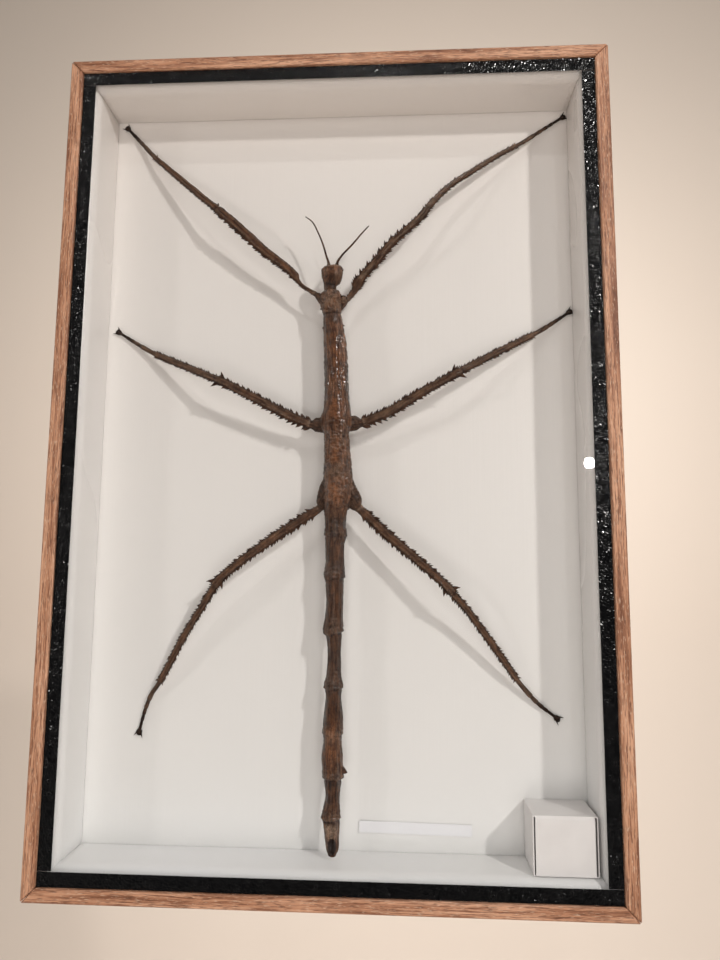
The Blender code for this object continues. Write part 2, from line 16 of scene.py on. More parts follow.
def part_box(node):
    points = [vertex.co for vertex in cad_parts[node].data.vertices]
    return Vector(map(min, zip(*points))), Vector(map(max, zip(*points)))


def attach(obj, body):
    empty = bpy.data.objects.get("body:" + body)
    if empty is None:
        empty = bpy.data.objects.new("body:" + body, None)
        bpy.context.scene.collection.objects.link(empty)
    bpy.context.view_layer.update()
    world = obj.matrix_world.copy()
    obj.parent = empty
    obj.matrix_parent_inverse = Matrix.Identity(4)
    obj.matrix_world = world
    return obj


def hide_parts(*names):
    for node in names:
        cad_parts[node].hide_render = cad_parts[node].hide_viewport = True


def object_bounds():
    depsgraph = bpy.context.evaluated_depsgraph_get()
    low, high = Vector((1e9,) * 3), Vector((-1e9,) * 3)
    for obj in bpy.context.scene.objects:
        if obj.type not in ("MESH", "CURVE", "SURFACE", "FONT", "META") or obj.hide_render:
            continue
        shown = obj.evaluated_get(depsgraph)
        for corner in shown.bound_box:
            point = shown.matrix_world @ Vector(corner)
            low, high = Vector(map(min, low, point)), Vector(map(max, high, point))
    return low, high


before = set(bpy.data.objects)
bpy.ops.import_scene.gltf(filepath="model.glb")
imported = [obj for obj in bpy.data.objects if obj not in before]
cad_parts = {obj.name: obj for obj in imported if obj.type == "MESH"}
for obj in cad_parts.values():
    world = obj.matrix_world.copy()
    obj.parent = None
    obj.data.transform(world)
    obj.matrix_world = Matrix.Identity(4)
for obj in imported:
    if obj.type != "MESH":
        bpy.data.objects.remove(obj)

MM = 0.001
solid_low, solid_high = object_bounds()
print("case box in metres:", [round(v, 4) for v in (*solid_low, *solid_high)])

# %% [markdown]
# A maker measures from the middle of the case, in millimetres, so this lesson does too. X runs to
# the viewer's right, Z up, and Y into the wall, whose plane is Y = 0. Heights over the white panel
# count towards the viewer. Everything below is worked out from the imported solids' own corners, so
# that nothing has to be fitted by eye.

# %% Places in the case
case_middle = (solid_low + solid_high) / 2
PANEL_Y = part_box("back_panel")[0].y / MM
ROOM_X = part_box("lining_right")[0].x / MM
ROOM_Z = (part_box("lining_top")[0].z - case_middle.z) / MM


def in_world(points):
    """Points in millimetres from the middle of the case, as metres in the frame."""
    return np.asarray(points, float) * MM + np.array([case_middle.x, 0.0, case_middle.z])


def in_case(corner):
    """A corner in the frame, as millimetres from the middle of the case."""
    return np.array([corner.x - case_middle.x, corner.y, corner.z - case_middle.z]) / MM


def spot(x, z, height):
    """A place over the white panel."""
    return np.array([x, PANEL_Y - height, z], float)


print("panel face at", round(PANEL_Y, 2), "mm, room", round(ROOM_X, 1), "x", round(ROOM_Z, 1), "mm")

# %% [markdown]
# ## Camera
# The photograph was taken from close by, a little below the middle of the case and looking slightly
# up, which is why the case looks wider at its foot. The straight edges of the case gave the place,
# the turn and the lens. A camera object with no target constraint keeps them exactly.

# %% Camera
CAMERA_PLACE = (0.02995, -0.33265, -0.20466)
CAMERA_TURN = (97.2173, -0.4201, 3.25)
LENS = 27.109
SENSOR = 36.0

camera_data = bpy.data.cameras.new("camera")
camera_data.lens = LENS
camera_data.sensor_width = SENSOR
camera = bpy.data.objects.new("camera", camera_data)
camera.location = CAMERA_PLACE
camera.rotation_euler = [math.radians(angle) for angle in CAMERA_TURN]
bpy.context.scene.collection.objects.link(camera)
bpy.context.scene.camera = camera
print("camera", round((camera.location - case_middle).length, 3), "m from the middle of the case")

# %% [markdown]
# ## Shapes from points
# Nearly everything that is grown or folded here is easier to work out point by point than to model
# by hand: a limb is a row of rings, and a sheet of tape or card is a front grid and a back grid,
# closed round the rim. These helpers number the faces between such points.

# %% Faces of rings and sheets


def ring_faces(rings, sides, capped=True):
    """Faces between rings that have the same number of points each."""
    ring, side = np.meshgrid(np.arange(rings - 1), np.arange(sides), indexing="ij")
    after = (side + 1) % sides
    quads = np.stack([ring * sides + side, (ring + 1) * sides + side,
                      (ring + 1) * sides + after, ring * sides + after], axis=-1)
    faces = quads.reshape(-1, 4).tolist()
    if capped:
        faces.append(list(range(sides)))
        faces.append([(rings - 1) * sides + number for number in range(sides)])
    return faces


def grid_faces(columns, rows):
    """Faces of a flat grid of points, column by column."""
    column, row = np.meshgrid(np.arange(columns - 1), np.arange(rows - 1), indexing="ij")
    first = column * rows + row
    return np.stack([first, first + rows, first + rows + 1, first + 1], axis=-1).reshape(-1, 4).tolist()


def grid_places(low, high, columns, rows):
    """X and Z of a grid of points over the front of a box."""
    return np.meshgrid(np.linspace(low[0], high[0], columns),
                       np.linspace(low[2], high[2], rows), indexing="ij")


def grid_rim(columns, rows):
    """Corners round the outside of a grid, in order."""
    rim = [column * rows for column in range(columns)]
    rim += [(columns - 1) * rows + row for row in range(1, rows)]
    rim += [column * rows + rows - 1 for column in range(columns - 2, -1, -1)]
    rim += range(rows - 2, 0, -1)
    return rim


def rim_walls(rim, count):
    """Faces between the rims of two grids that are count points apart in the list."""
    return [[a, b, b + count, a + count] for a, b in zip(rim, rim[1:] + rim[:1])]


def sheet_faces(columns, rows):
    """Faces of a sheet: its front grid, its back grid and the walls round its rim."""
    count = columns * rows
    faces = grid_faces(columns, rows)
    faces += [[corner + count for corner in face[::-1]] for face in grid_faces(columns, rows)]
    return faces + rim_walls(grid_rim(columns, rows), count)


# %% [markdown]
# A shape is its points and its faces. Colour that depends on the place, such as a dark knee, is
# stored on the points as three shares, pale, warm and dark, and a second record says where each
# point lies on its limb, so that the material's grain can follow a bent leg.

# %% Shapes with colour shares


def shape(points, faces, tint=None, lie=None):
    """Points, faces, the shares of pale, warm and dark, and where each point lies on its limb."""
    points = np.asarray(points, float).reshape(-1, 3)
    tint = np.zeros((len(points), 3)) if tint is None else np.asarray(tint, float).reshape(-1, 3)
    lie = points if lie is None else np.asarray(lie, float).reshape(-1, 3)
    return points, faces, tint, lie


def join(shapes):
    """One shape out of several."""
    faces = []
    count = 0
    for some_points, some_faces, _, _ in shapes:
        faces += [[corner + count for corner in face] for face in some_faces]
        count += len(some_points)
    points, tints, lies = (np.concatenate([one[part] for one in shapes]) for part in (0, 2, 3))
    return points, faces, tints, lies


# %% [markdown]
# One helper turns a list of shapes into a mesh that rides on the case, and names the solids that it
# stands for. Smooth noise from Blender's own noise module makes the small unevenness of real things.

# %% Pieces on the case


def add_piece(name, shapes, material, nodes=(), sharp=None):
    """A mesh piece that rides on the case and stands for the named solids."""
    points, faces, tint, lie = join(shapes)
    mesh = bpy.data.meshes.new(name)
    mesh.from_pydata(in_world(points).tolist(), [], faces)
    layer = mesh.color_attributes.new(name="tint", type="FLOAT_COLOR", domain="POINT")
    colours = np.column_stack([np.clip(tint, 0.0, 1.0), np.ones(len(tint))])
    layer.data.foreach_set("color", colours.astype(np.float32).ravel())
    layer = mesh.attributes.new(name="lie", type="FLOAT_VECTOR", domain="POINT")
    layer.data.foreach_set("vector", (lie * MM).astype(np.float32).ravel())
    bm = bmesh.new()
    bm.from_mesh(mesh)
    bmesh.ops.recalc_face_normals(bm, faces=bm.faces)
    bm.to_mesh(mesh)
    bm.free()
    mesh.shade_smooth()
    if sharp is not None:
        mesh.set_sharp_from_angle(angle=math.radians(sharp))
    mesh.materials.append(material)
    piece = bpy.data.objects.new(name, mesh)
    bpy.context.scene.collection.objects.link(piece)
    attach(piece, "root")
    if nodes:
        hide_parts(*nodes)
    print(name, len(mesh.vertices), "points,", len(mesh.polygons), "faces")
    return piece


def wavy(points, scale, seed=0.0):
    """Smooth noise from about -1 to 1 at each point, scaled along each axis."""
    places = np.asarray(points, float).reshape(-1, 3) * np.asarray(scale, float) + seed
    return np.array([noise.noise(place) for place in places.tolist()])


# %% [markdown]
# ## Finishes from nodes
# Each finish is a Principled shader with noise behind its colour, roughness and bump. The noise
# reads the piece's own coordinates in metres, so a scale of 1000 is a pattern about a millimetre
# wide. Small helpers keep the node code short: one makes a node and wires it, and the others make
# stretched noise, a ramp of colours, a mix, a product and a bump.

# %% Node helpers


def node(tree, kind, wires=(), **settings):
    """A node with its settings, and its inputs either set or wired."""
    made = tree.nodes.new("ShaderNode" + kind)
    for key, value in settings.items():
        setattr(made, key, value)
    for key, value in dict(wires).items():
        if isinstance(value, bpy.types.NodeSocket):
            tree.links.new(value, made.inputs[key])
        else:
            made.inputs[key].default_value = value
    return made


def stretched_noise(tree, scale, detail=3.0, roughness=0.5, offset=(0.0, 0.0, 0.0), place=None):
    """Noise with its own scale along X, Y and Z."""
    if place is None:
        place = node(tree, "TexCoord").outputs["Object"]
    moved = node(tree, "Mapping", {"Vector": place, "Scale": scale, "Location": offset})
    grain = node(tree, "TexNoise", {"Vector": moved.outputs["Vector"], "Scale": 1.0,
                                    "Detail": detail, "Roughness": roughness})
    return grain.outputs["Fac"]


def ramp(tree, value, stops):
    """Colours or greys between stops along a value."""
    made = node(tree, "ValToRGB", {"Fac": value})
    elements = made.color_ramp.elements
    while len(elements) < len(stops):
        elements.new(0.5)
    for element, (place, colour) in zip(elements, stops):
        element.position = place
        element.color = (*colour, 1.0) if isinstance(colour, tuple) else (colour, colour, colour, 1.0)
    return made.outputs["Color"]


def mixed(tree, share, first, second):
    """Two colours mixed by a share."""
    made = node(tree, "Mix", data_type="RGBA")
    for socket, value in ((made.inputs[0], share), (made.inputs[6], first), (made.inputs[7], second)):
        if isinstance(value, bpy.types.NodeSocket):
            tree.links.new(value, socket)
        else:
            socket.default_value = (*value, 1.0) if isinstance(value, tuple) else value
    return made.outputs[2]


def product(tree, first, second):
    """Two numbers multiplied."""
    return node(tree, "Math", {0: first, 1: second}, operation="MULTIPLY").outputs[0]


def bumped(tree, height, depth):
    """A surface normal from a height, with the full depth in metres."""
    made = node(tree, "Bump", {"Height": height, "Distance": depth, "Strength": 1.0})
    return made.outputs["Normal"]


# %% [markdown]
# A finish starts as one shader with plain numbers on its sockets. What changes from place to place
# is wired in afterwards, and solids that keep their shape are dressed in the finished material.

# %% Finish helpers


def finish(name, roughness=0.5, metallic=0.0, **sockets):
    """A new material, its tree and its Principled shader, with plain numbers set on the shader."""
    made = bpy.data.materials.new(name)
    made.use_nodes = True
    shader = made.node_tree.nodes["Principled BSDF"]
    shader.inputs["Roughness"].default_value = roughness
    shader.inputs["Metallic"].default_value = metallic
    for key, value in sockets.items():
        shader.inputs[key.replace("_", " ")].default_value = value
    return made, made.node_tree, shader


def wire(tree, shader, **sockets):
    """Wire outputs to the shader's own sockets."""
    for key, value in sockets.items():
        tree.links.new(value, shader.inputs[key.replace("_", " ")])


def dress(material, *names):
    """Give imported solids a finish."""
    for name in names:
        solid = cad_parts[name]
        solid.data.materials.clear()
        solid.data.materials.append(material)


# %% [markdown]
# ## Wooden rails
# The rails are thin strips of an open-grained reddish wood with a thin satin finish. Their solids
# already have the right shape, with mitred ends, so only the finish is added. The grain runs along
# each rail, so the same finish is made twice, once for upright and once for level rails. Broad soft
# bands make the flat-sawn figure, short dark dashes are the open pores, which also sink into the
# surface, and pale flecks between them are painted highlight: the light that the wood's rays catch.

# %% Wood
WOOD_LIGHT = (0.68, 0.375, 0.235)
WOOD_MIDDLE = (0.50, 0.24, 0.135)
WOOD_DARK = (0.22, 0.085, 0.042)
PORE_DARK = (0.10, 0.040, 0.022)
WOOD_RAY_GLINT = (0.70, 0.49, 0.35)


def wood_finish(name, across, along_axis):
    """Wood whose grain runs along X or Z."""
    made, tree, shader = finish(name, 0.50)

    def grain_scale(wide, long):
        return (long, wide, wide) if along_axis == "X" else (wide, wide, long)

    figure = stretched_noise(tree, grain_scale(260, 14), 5.0, 0.62, (across, 0.0, across))
    bands = ramp(tree, figure, [(0.36, WOOD_DARK), (0.46, WOOD_MIDDLE), (0.60, WOOD_LIGHT)])
    strands = stretched_noise(tree, grain_scale(1500, 60), 3.0, 0.6)
    streaked = mixed(tree, ramp(tree, strands, [(0.38, 0.9), (0.52, 0.0)]), bands, WOOD_DARK)
    pores = stretched_noise(tree, grain_scale(2600, 230), 2.0, 0.5, (3.0, 1.0, 2.0))
    pore_share = ramp(tree, pores, [(0.54, 0.0), (0.66, 0.65)])
    pored = mixed(tree, pore_share, streaked, PORE_DARK)
    # Pale flecks along the grain are painted highlight, the light that the wood's rays catch
    ray_glints = stretched_noise(tree, grain_scale(2400, 420), 2.0, 0.5, (9.0, 4.0, 6.0))
    coloured = mixed(tree, ramp(tree, ray_glints, [(0.58, 0.0), (0.70, 0.65)]), pored, WOOD_RAY_GLINT)
    height = mixed(tree, pore_share, strands, (0.0, 0.0, 0.0))
    wire(tree, shader, Base_Color=coloured, Normal=bumped(tree, height, 0.00012),
         Roughness=ramp(tree, strands, [(0.3, 0.42), (0.7, 0.62)]))
    return made


dress(wood_finish("wood_level", 2.0, "X"), "frame_rail_top", "frame_rail_bottom")
dress(wood_finish("wood_upright", 7.0, "Z"), "frame_rail_left", "frame_rail_right")
print("four rails in two runs of grain")

# %% [markdown]
# ## Glass
# A clear pane closes the case. In a path tracer, light that has to bend through glass to reach what
# lies behind it makes a dark and noisy room. A flat pane hardly bends anything, so lamps and the
# light that bounces inside see a plain clear sheet, and only the viewer's own rays meet the real
# glass with its reflections.

# %% Glass pane


def glass_finish():
    """Glass to the viewer's rays, and a clear sheet to light on its way in or between the walls."""
    made, tree, shader = finish("clear_pane", 0.0, IOR=1.5, Transmission_Weight=1.0)
    shader.inputs["Base Color"].default_value = (0.99, 0.992, 0.99, 1.0)
    clear = node(tree, "BsdfTransparent", {"Color": (0.98, 0.98, 0.98, 1.0)})
    ray = node(tree, "LightPath")
    output = tree.nodes["Material Output"]
    pane = node(tree, "MixShader", {0: ray.outputs["Is Diffuse Ray"], 1: shader.outputs[0],
                                    2: clear.outputs[0]})
    lit = node(tree, "MixShader", {0: ray.outputs["Is Shadow Ray"], 1: pane.outputs[0],
                                   2: clear.outputs[0]})
    tree.links.new(lit.outputs[0], output.inputs["Surface"])
    return made


dress(glass_finish(), "glass_pane")
glass_low, glass_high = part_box("glass_pane")
print("glass pane", [round(side / MM, 1) for side in glass_high - glass_low], "mm")

# %% [markdown]
# ## Black tape
# Gummed black tape runs round the edge of the glass. Its face is embossed like leather cloth, and
# those dimples catch the lamps as a swarm of glints. Bump alone would give an even sheen, so each
# strip is a fine grid whose dimples are real, less than a tenth of a millimetre deep, and a finer
# bump only breaks each glint up. The cut edges waver a little, and the strips butt with a seam.

# %% Tape
TAPE_STEP = 0.36
DIMPLE_WIDTH = 1.8
DIMPLE_DEPTH = 0.09
DIMPLE_FLOOR = 0.9
SEAT_WAVE = 0.05
EDGE_WAVER = 0.10
TAPE_BLACK = (0.0022, 0.0022, 0.0026)
TAPE_WORN = (0.0045, 0.0043, 0.0046)


def tape_finish():
    """Black cloth tape with a domed grain and a trace of its threads."""
    made, tree, shader = finish("black_cloth_tape", 0.15, Specular_IOR_Level=0.38)
    place = node(tree, "TexCoord").outputs["Object"]
    wobble = stretched_noise(tree, (500, 500, 500), 2.0, 0.5)
    dimples = node(tree, "TexVoronoi", {"Vector": place, "Scale": 900.0, "Randomness": 1.0},
                   feature="DISTANCE_TO_EDGE").outputs["Distance"]
    domes = ramp(tree, dimples, [(0.02, 0.0), (0.30, 1.0)])
    threads = node(tree, "TexWave", {"Vector": place, "Scale": 300.0, "Distortion": 1.5, "Detail": 1.0},
                   bands_direction="DIAGONAL").outputs["Fac"]
    leather = mixed(tree, 0.12, domes, threads)
    wire(tree, shader, Base_Color=ramp(tree, wobble, [(0.3, TAPE_BLACK), (0.7, TAPE_WORN)]),
         Roughness=ramp(tree, wobble, [(0.35, 0.10), (0.70, 0.28)]),
         Normal=bumped(tree, leather, 0.00012))
    return made


def tape_strip(node_name, material):
    """A strip of embossed tape in the place of its solid."""
    low, high = (in_case(corner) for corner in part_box(node_name))
    columns = int((high[0] - low[0]) / TAPE_STEP) + 1
    rows = int((high[2] - low[2]) / TAPE_STEP) + 1
    x, z = grid_places(low, high, columns, rows)
    flat = np.stack([x.ravel(), np.zeros(x.size), z.ravel()], axis=-1)
    dimples_per_mm = 1.0 / DIMPLE_WIDTH
    cells = np.array([noise.voronoi(place)[0][0] for place in (flat * dimples_per_mm).tolist()])
    sink = DIMPLE_DEPTH * np.clip(cells, 0.0, DIMPLE_FLOOR) + SEAT_WAVE * (1 + wavy(flat, 0.30, 5.0))
    level = wavy(flat, (0.06, 1.0, 0.06), 2.0) * EDGE_WAVER
    wave_x = np.clip(np.minimum(flat[:, 0] - low[0], high[0] - flat[:, 0]), 0.0, 1.0)
    wave_z = np.clip(np.minimum(flat[:, 2] - low[2], high[2] - flat[:, 2]), 0.0, 1.0)
    front = flat.copy()
    front[:, 1] = low[1] + sink
    centre_x, centre_z = (low[0] + high[0]) / 2, (low[2] + high[2]) / 2
    front[:, 0] -= np.sign(flat[:, 0] - centre_x) * np.abs(level) * (1 - wave_x)
    front[:, 2] -= np.sign(flat[:, 2] - centre_z) * np.abs(level) * (1 - wave_z)
    back = front.copy()
    back[:, 1] = high[1]
    count = len(front)
    rim = grid_rim(columns, rows)
    faces = grid_faces(columns, rows) + rim_walls(rim, count)
    faces.append([corner + count for corner in rim])
    strip = shape(np.concatenate([front, back]), faces)
    return add_piece(node_name + "_cloth", [strip], material, [node_name], sharp=50)


tape = tape_finish()
for side in ("top", "bottom", "left", "right"):
    tape_strip("tape_" + side, tape)

# %% [markdown]
# ## White lining and panel
# The inside is board painted white by brush, with a slight gloss. The strokes run along each board
# and show only where a lamp glances off them, so a streaky bump is enough. A faint change of tone
# keeps the large white faces from looking computed. Towards the top the white is painted darker
# and warmer, a painted shade, and the lining's white is a brighter, cooler copy of the panel's
# white, a painted light.

# %% White paint
PAINT_WHITE = (0.88, 0.875, 0.86)
PAINT_SHADE = (0.855, 0.85, 0.835)
# The lining's white is the panel's white painted brighter and cooler, a painted light
LINING_LIT_WHITE = (0.885, 0.885, 0.895)
# Painted shade: the darker, warmer tone of the paint towards the top of the case
PAINT_TOP_SHADE = (0.83, 0.785, 0.75)


def paint_finish(name, white_paint, scale, roughness, stroke_depth):
    """White paint, painted darker and warmer towards the top of the case as painted shade."""
    made, tree, shader = finish(name, roughness, Specular_IOR_Level=0.45)
    place = node(tree, "SeparateXYZ", {0: node(tree, "TexCoord").outputs["Object"]})
    # The share of painted shade rises towards the top of the case
    top_shade_share = node(tree, "MapRange", {"Value": place.outputs["Z"], "From Min": case_middle.z - 0.16,
                                       "From Max": case_middle.z + 0.17})
    cloud = stretched_noise(tree, (9, 9, 5), 2.0, 0.5)
    strokes = stretched_noise(tree, scale, 3.0, 0.55)
    white = mixed(tree, ramp(tree, cloud, [(0.3, 0.0), (0.7, 1.0)]), PAINT_SHADE, white_paint)
    wire(tree, shader, Base_Color=mixed(tree, top_shade_share.outputs["Result"], white, PAINT_TOP_SHADE),
         Roughness=ramp(tree, cloud, [(0.3, roughness - 0.04), (0.7, roughness + 0.06)]),
         Normal=bumped(tree, strokes, stroke_depth))
    return made


dress(paint_finish("painted_panel", PAINT_WHITE, (700, 700, 14), 0.34, 0.00004), "back_panel")
upright_paint = paint_finish("painted_lining_upright", LINING_LIT_WHITE, (500, 500, 12), 0.26, 0.000003)
level_paint = paint_finish("painted_lining_level", LINING_LIT_WHITE, (12, 500, 500), 0.30, 0.000003)
print("white paint on the panel, and two runs of strokes for the lining")

# %% [markdown]
# The lining strips are sanded round at their front edge before they are painted, so the eye runs
# from under the tape straight down the wall. Each strip is its cross-section swept from mitre to
# mitre, up to a tenth of a millimetre out of true.

# %% Lining strips
EDGE_ROUND = 3.4
EDGE_RUN = 4.8
EDGE_STEPS = 10
LINING_STEPS = 90
LINING_WAVER = 0.05
LINING_OUTER = [abs(in_case(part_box("lining_left")[0])[0]), 0.0,
                abs(in_case(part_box("lining_bottom")[0])[2])]


def lining_strip(name, material):
    """A strip whose section turns from the wall to the front edge in a quarter ellipse."""
    low, high = (in_case(corner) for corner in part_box(name))
    upright = high[2] - low[2] > high[0] - low[0]
    wide, long = (0, 2) if upright else (2, 0)
    side = 1.0 if low[wide] > 0 else -1.0
    inner = min(abs(low[wide]), abs(high[wide]))
    outer = max(abs(low[wide]), abs(high[wide]))
    room_end = ROOM_Z if upright else ROOM_X
    solid_end = LINING_OUTER[long]
    section = [(outer, high[1]), (inner, high[1])]
    for turn in np.linspace(0.0, math.pi / 2, EDGE_STEPS):
        section.append((inner + EDGE_ROUND * (1 - math.cos(turn)),
                        low[1] + EDGE_RUN * (1 - math.sin(turn))))
    section.append((outer, low[1]))
    section = np.array(section)
    rings = []
    for share in np.linspace(-1.0, 1.0, LINING_STEPS):
        ends = room_end + (section[:, 0] - inner) / (outer - inner) * (solid_end - room_end)
        ring = np.empty((len(section), 3))
        ring[:, wide] = side * section[:, 0]
        ring[:, long] = share * ends
        ring[:, 1] = section[:, 1]
        rings.append(ring)
    points = np.array(rings).reshape(-1, 3)
    in_sight = np.abs(points[:, wide]) < outer - 1
    points[:, wide] += side * LINING_WAVER * (1 + wavy(points, 0.04, 6.0)) * in_sight
    strip = shape(points, ring_faces(LINING_STEPS, len(section)))
    return add_piece(name + "_painted", [strip], material, [name], sharp=50)


for side in ("left", "right"):
    lining_strip("lining_" + side, upright_paint)
for side in ("top", "bottom"):
    lining_strip("lining_" + side, level_paint)

# %% [markdown]
# ## The back of the case
# A wall hides the back, but a reusable part is seen from behind as well: brown hardboard with its
# pressed mesh pattern, and a toothed hanger with two round-head screws of plated steel.

# %% Hardboard and hanger
BOARD_BROWN = (0.17, 0.095, 0.052)
BOARD_LIGHT = (0.33, 0.20, 0.12)
BOARD_STAIN = (0.13, 0.07, 0.04)
PLATE_DULL = (0.42, 0.33, 0.17)
PLATE_BRIGHT = (0.70, 0.58, 0.34)


def hardboard_finish():
    """Pressed brown fibre with a mesh pattern and a few stains."""
    made, tree, shader = finish("brown_hardboard", 0.75)
    fibre = stretched_noise(tree, (900, 900, 900), 4.0, 0.7)
    blotch = stretched_noise(tree, (25, 25, 25), 3.0, 0.5)
    tone = ramp(tree, fibre, [(0.3, BOARD_BROWN), (0.7, BOARD_LIGHT)])
    place = node(tree, "TexCoord").outputs["Object"]
    mesh_mark = node(tree, "TexWave", {"Vector": place, "Scale": 320.0},
                     bands_direction="DIAGONAL").outputs["Fac"]
    height = mixed(tree, 0.6, fibre, mesh_mark)
    stains = ramp(tree, blotch, [(0.4, 0.0), (0.7, 0.35)])
    wire(tree, shader, Base_Color=mixed(tree, stains, tone, BOARD_STAIN),
         Normal=bumped(tree, height, 0.00012))
    return made


def plated_finish():
    """Thin yellowish plating that has gone dull in places."""
    made, tree, shader = finish("plated_steel", 0.32, 1.0)
    wear = stretched_noise(tree, (600, 600, 600), 4.0, 0.6)
    wire(tree, shader, Base_Color=ramp(tree, wear, [(0.35, PLATE_DULL), (0.6, PLATE_BRIGHT)]),
         Roughness=ramp(tree, wear, [(0.3, 0.24), (0.7, 0.48)]))
    return made


plated = plated_finish()
dress(hardboard_finish(), "back_board")
dress(plated, "sawtooth_hanger")
print("the back is dressed in hardboard and plated steel")

# %% [markdown]
# A screw head is turned, so its rings are worked out about its axis. The cross recess is pressed in
# by sinking the points that lie inside two crossed slots.

# %% Screws
SCREW_RINGS = 26
SCREW_SIDES = 48
SLOT_HALF_WIDTH = 0.30
SLOT_HALF_LENGTH = 1.25
SLOT_DEPTH = 0.55
SCREW_HEAD_HEIGHT = 0.9
HEAD_RIM = 0.12
RIM_SHARE = 0.96
SHANK_SHARE = 0.45
CROWN_TIP = 0.01
SLOT_CLEAR = 0.2


def screw_shape(node_name):
    """A round-head screw with a cross recess, turned about the Y axis."""
    low, high = (in_case(corner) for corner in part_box(node_name))
    x, z = (low[0] + high[0]) / 2, (low[2] + high[2]) / 2
    head_radius = (high[0] - low[0]) / 2
    head_base = high[1] - SCREW_HEAD_HEIGHT
    shank_radius = head_radius * SHANK_SHARE
    angles = np.linspace(0, 2 * math.pi, SCREW_SIDES, endpoint=False)
    profile = [(shank_radius, low[1]), (shank_radius, head_base),
               (head_radius * RIM_SHARE, head_base), (head_radius, head_base + HEAD_RIM)]
    for share in np.linspace(0.0, 1.0, SCREW_RINGS)[1:]:
        radius = head_radius * (1 - share)
        dome = math.sqrt(1 - (radius / head_radius) ** 2)
        profile.append((max(radius, CROWN_TIP),
                        head_base + HEAD_RIM + (SCREW_HEAD_HEIGHT - HEAD_RIM) * dome))
    points = []
    for radius, y in profile:
        for angle in angles:
            u, v = radius * math.cos(angle), radius * math.sin(angle)
            in_slot = ((abs(u) < SLOT_HALF_WIDTH and abs(v) < SLOT_HALF_LENGTH)
                       or (abs(v) < SLOT_HALF_WIDTH and abs(u) < SLOT_HALF_LENGTH))
            sunk = SLOT_DEPTH if in_slot and y > head_base + SLOT_CLEAR else 0.0
            points.append((x + u, y - sunk, z + v))
    return shape(points, ring_faces(len(profile), SCREW_SIDES))


for side in ("left", "right"):
    name = "hanger_screw_" + side
    add_piece(name + "_turned", [screw_shape(name)], plated, [name], sharp=35)

# %% [markdown]
# ## Limbs of the insect
# Body, head, legs and feelers are all limbs: a line through stations, each with a place, a height
# over the panel and a half width and half depth. The solids use the same stations with few sides.
# Here a curve that never swings past its stations is read every third of a millimetre or less,
# which gives enough points for wrinkles and keels as real shape.

# %% A smooth curve through stations


def smooth_read(places, known, values):
    """Values along a smooth curve through known ones, without overshoot."""
    gaps = np.diff(known)
    slopes = np.diff(values) / gaps
    turns = np.zeros(len(values))
    product = slopes[:-1] * slopes[1:]
    total = slopes[:-1] + slopes[1:]
    steady = product > 0
    turns[1:-1][steady] = 2 * product[steady] / total[steady]
    turns[0], turns[-1] = slopes[0], slopes[-1]
    cell = np.clip(np.searchsorted(known, places, side="right") - 1, 0, len(gaps) - 1)
    t = (places - known[cell]) / gaps[cell]
    rise, drop = turns[cell] * gaps[cell], turns[cell + 1] * gaps[cell]
    return ((2 * t ** 3 - 3 * t ** 2 + 1) * values[cell] + (t ** 3 - 2 * t ** 2 + t) * rise
            + (3 * t ** 2 - 2 * t ** 3) * values[cell + 1] + (t ** 3 - t ** 2) * drop)


# %% [markdown]
# A limb keeps its rings in one object: where each ring's middle is, which way it runs, and how wide
# and deep it is. Relief is then a plain sum of shares, each of which says how much a line along the
# limb, a band round it or a stretch of it takes part.

# %% A limb and its rings


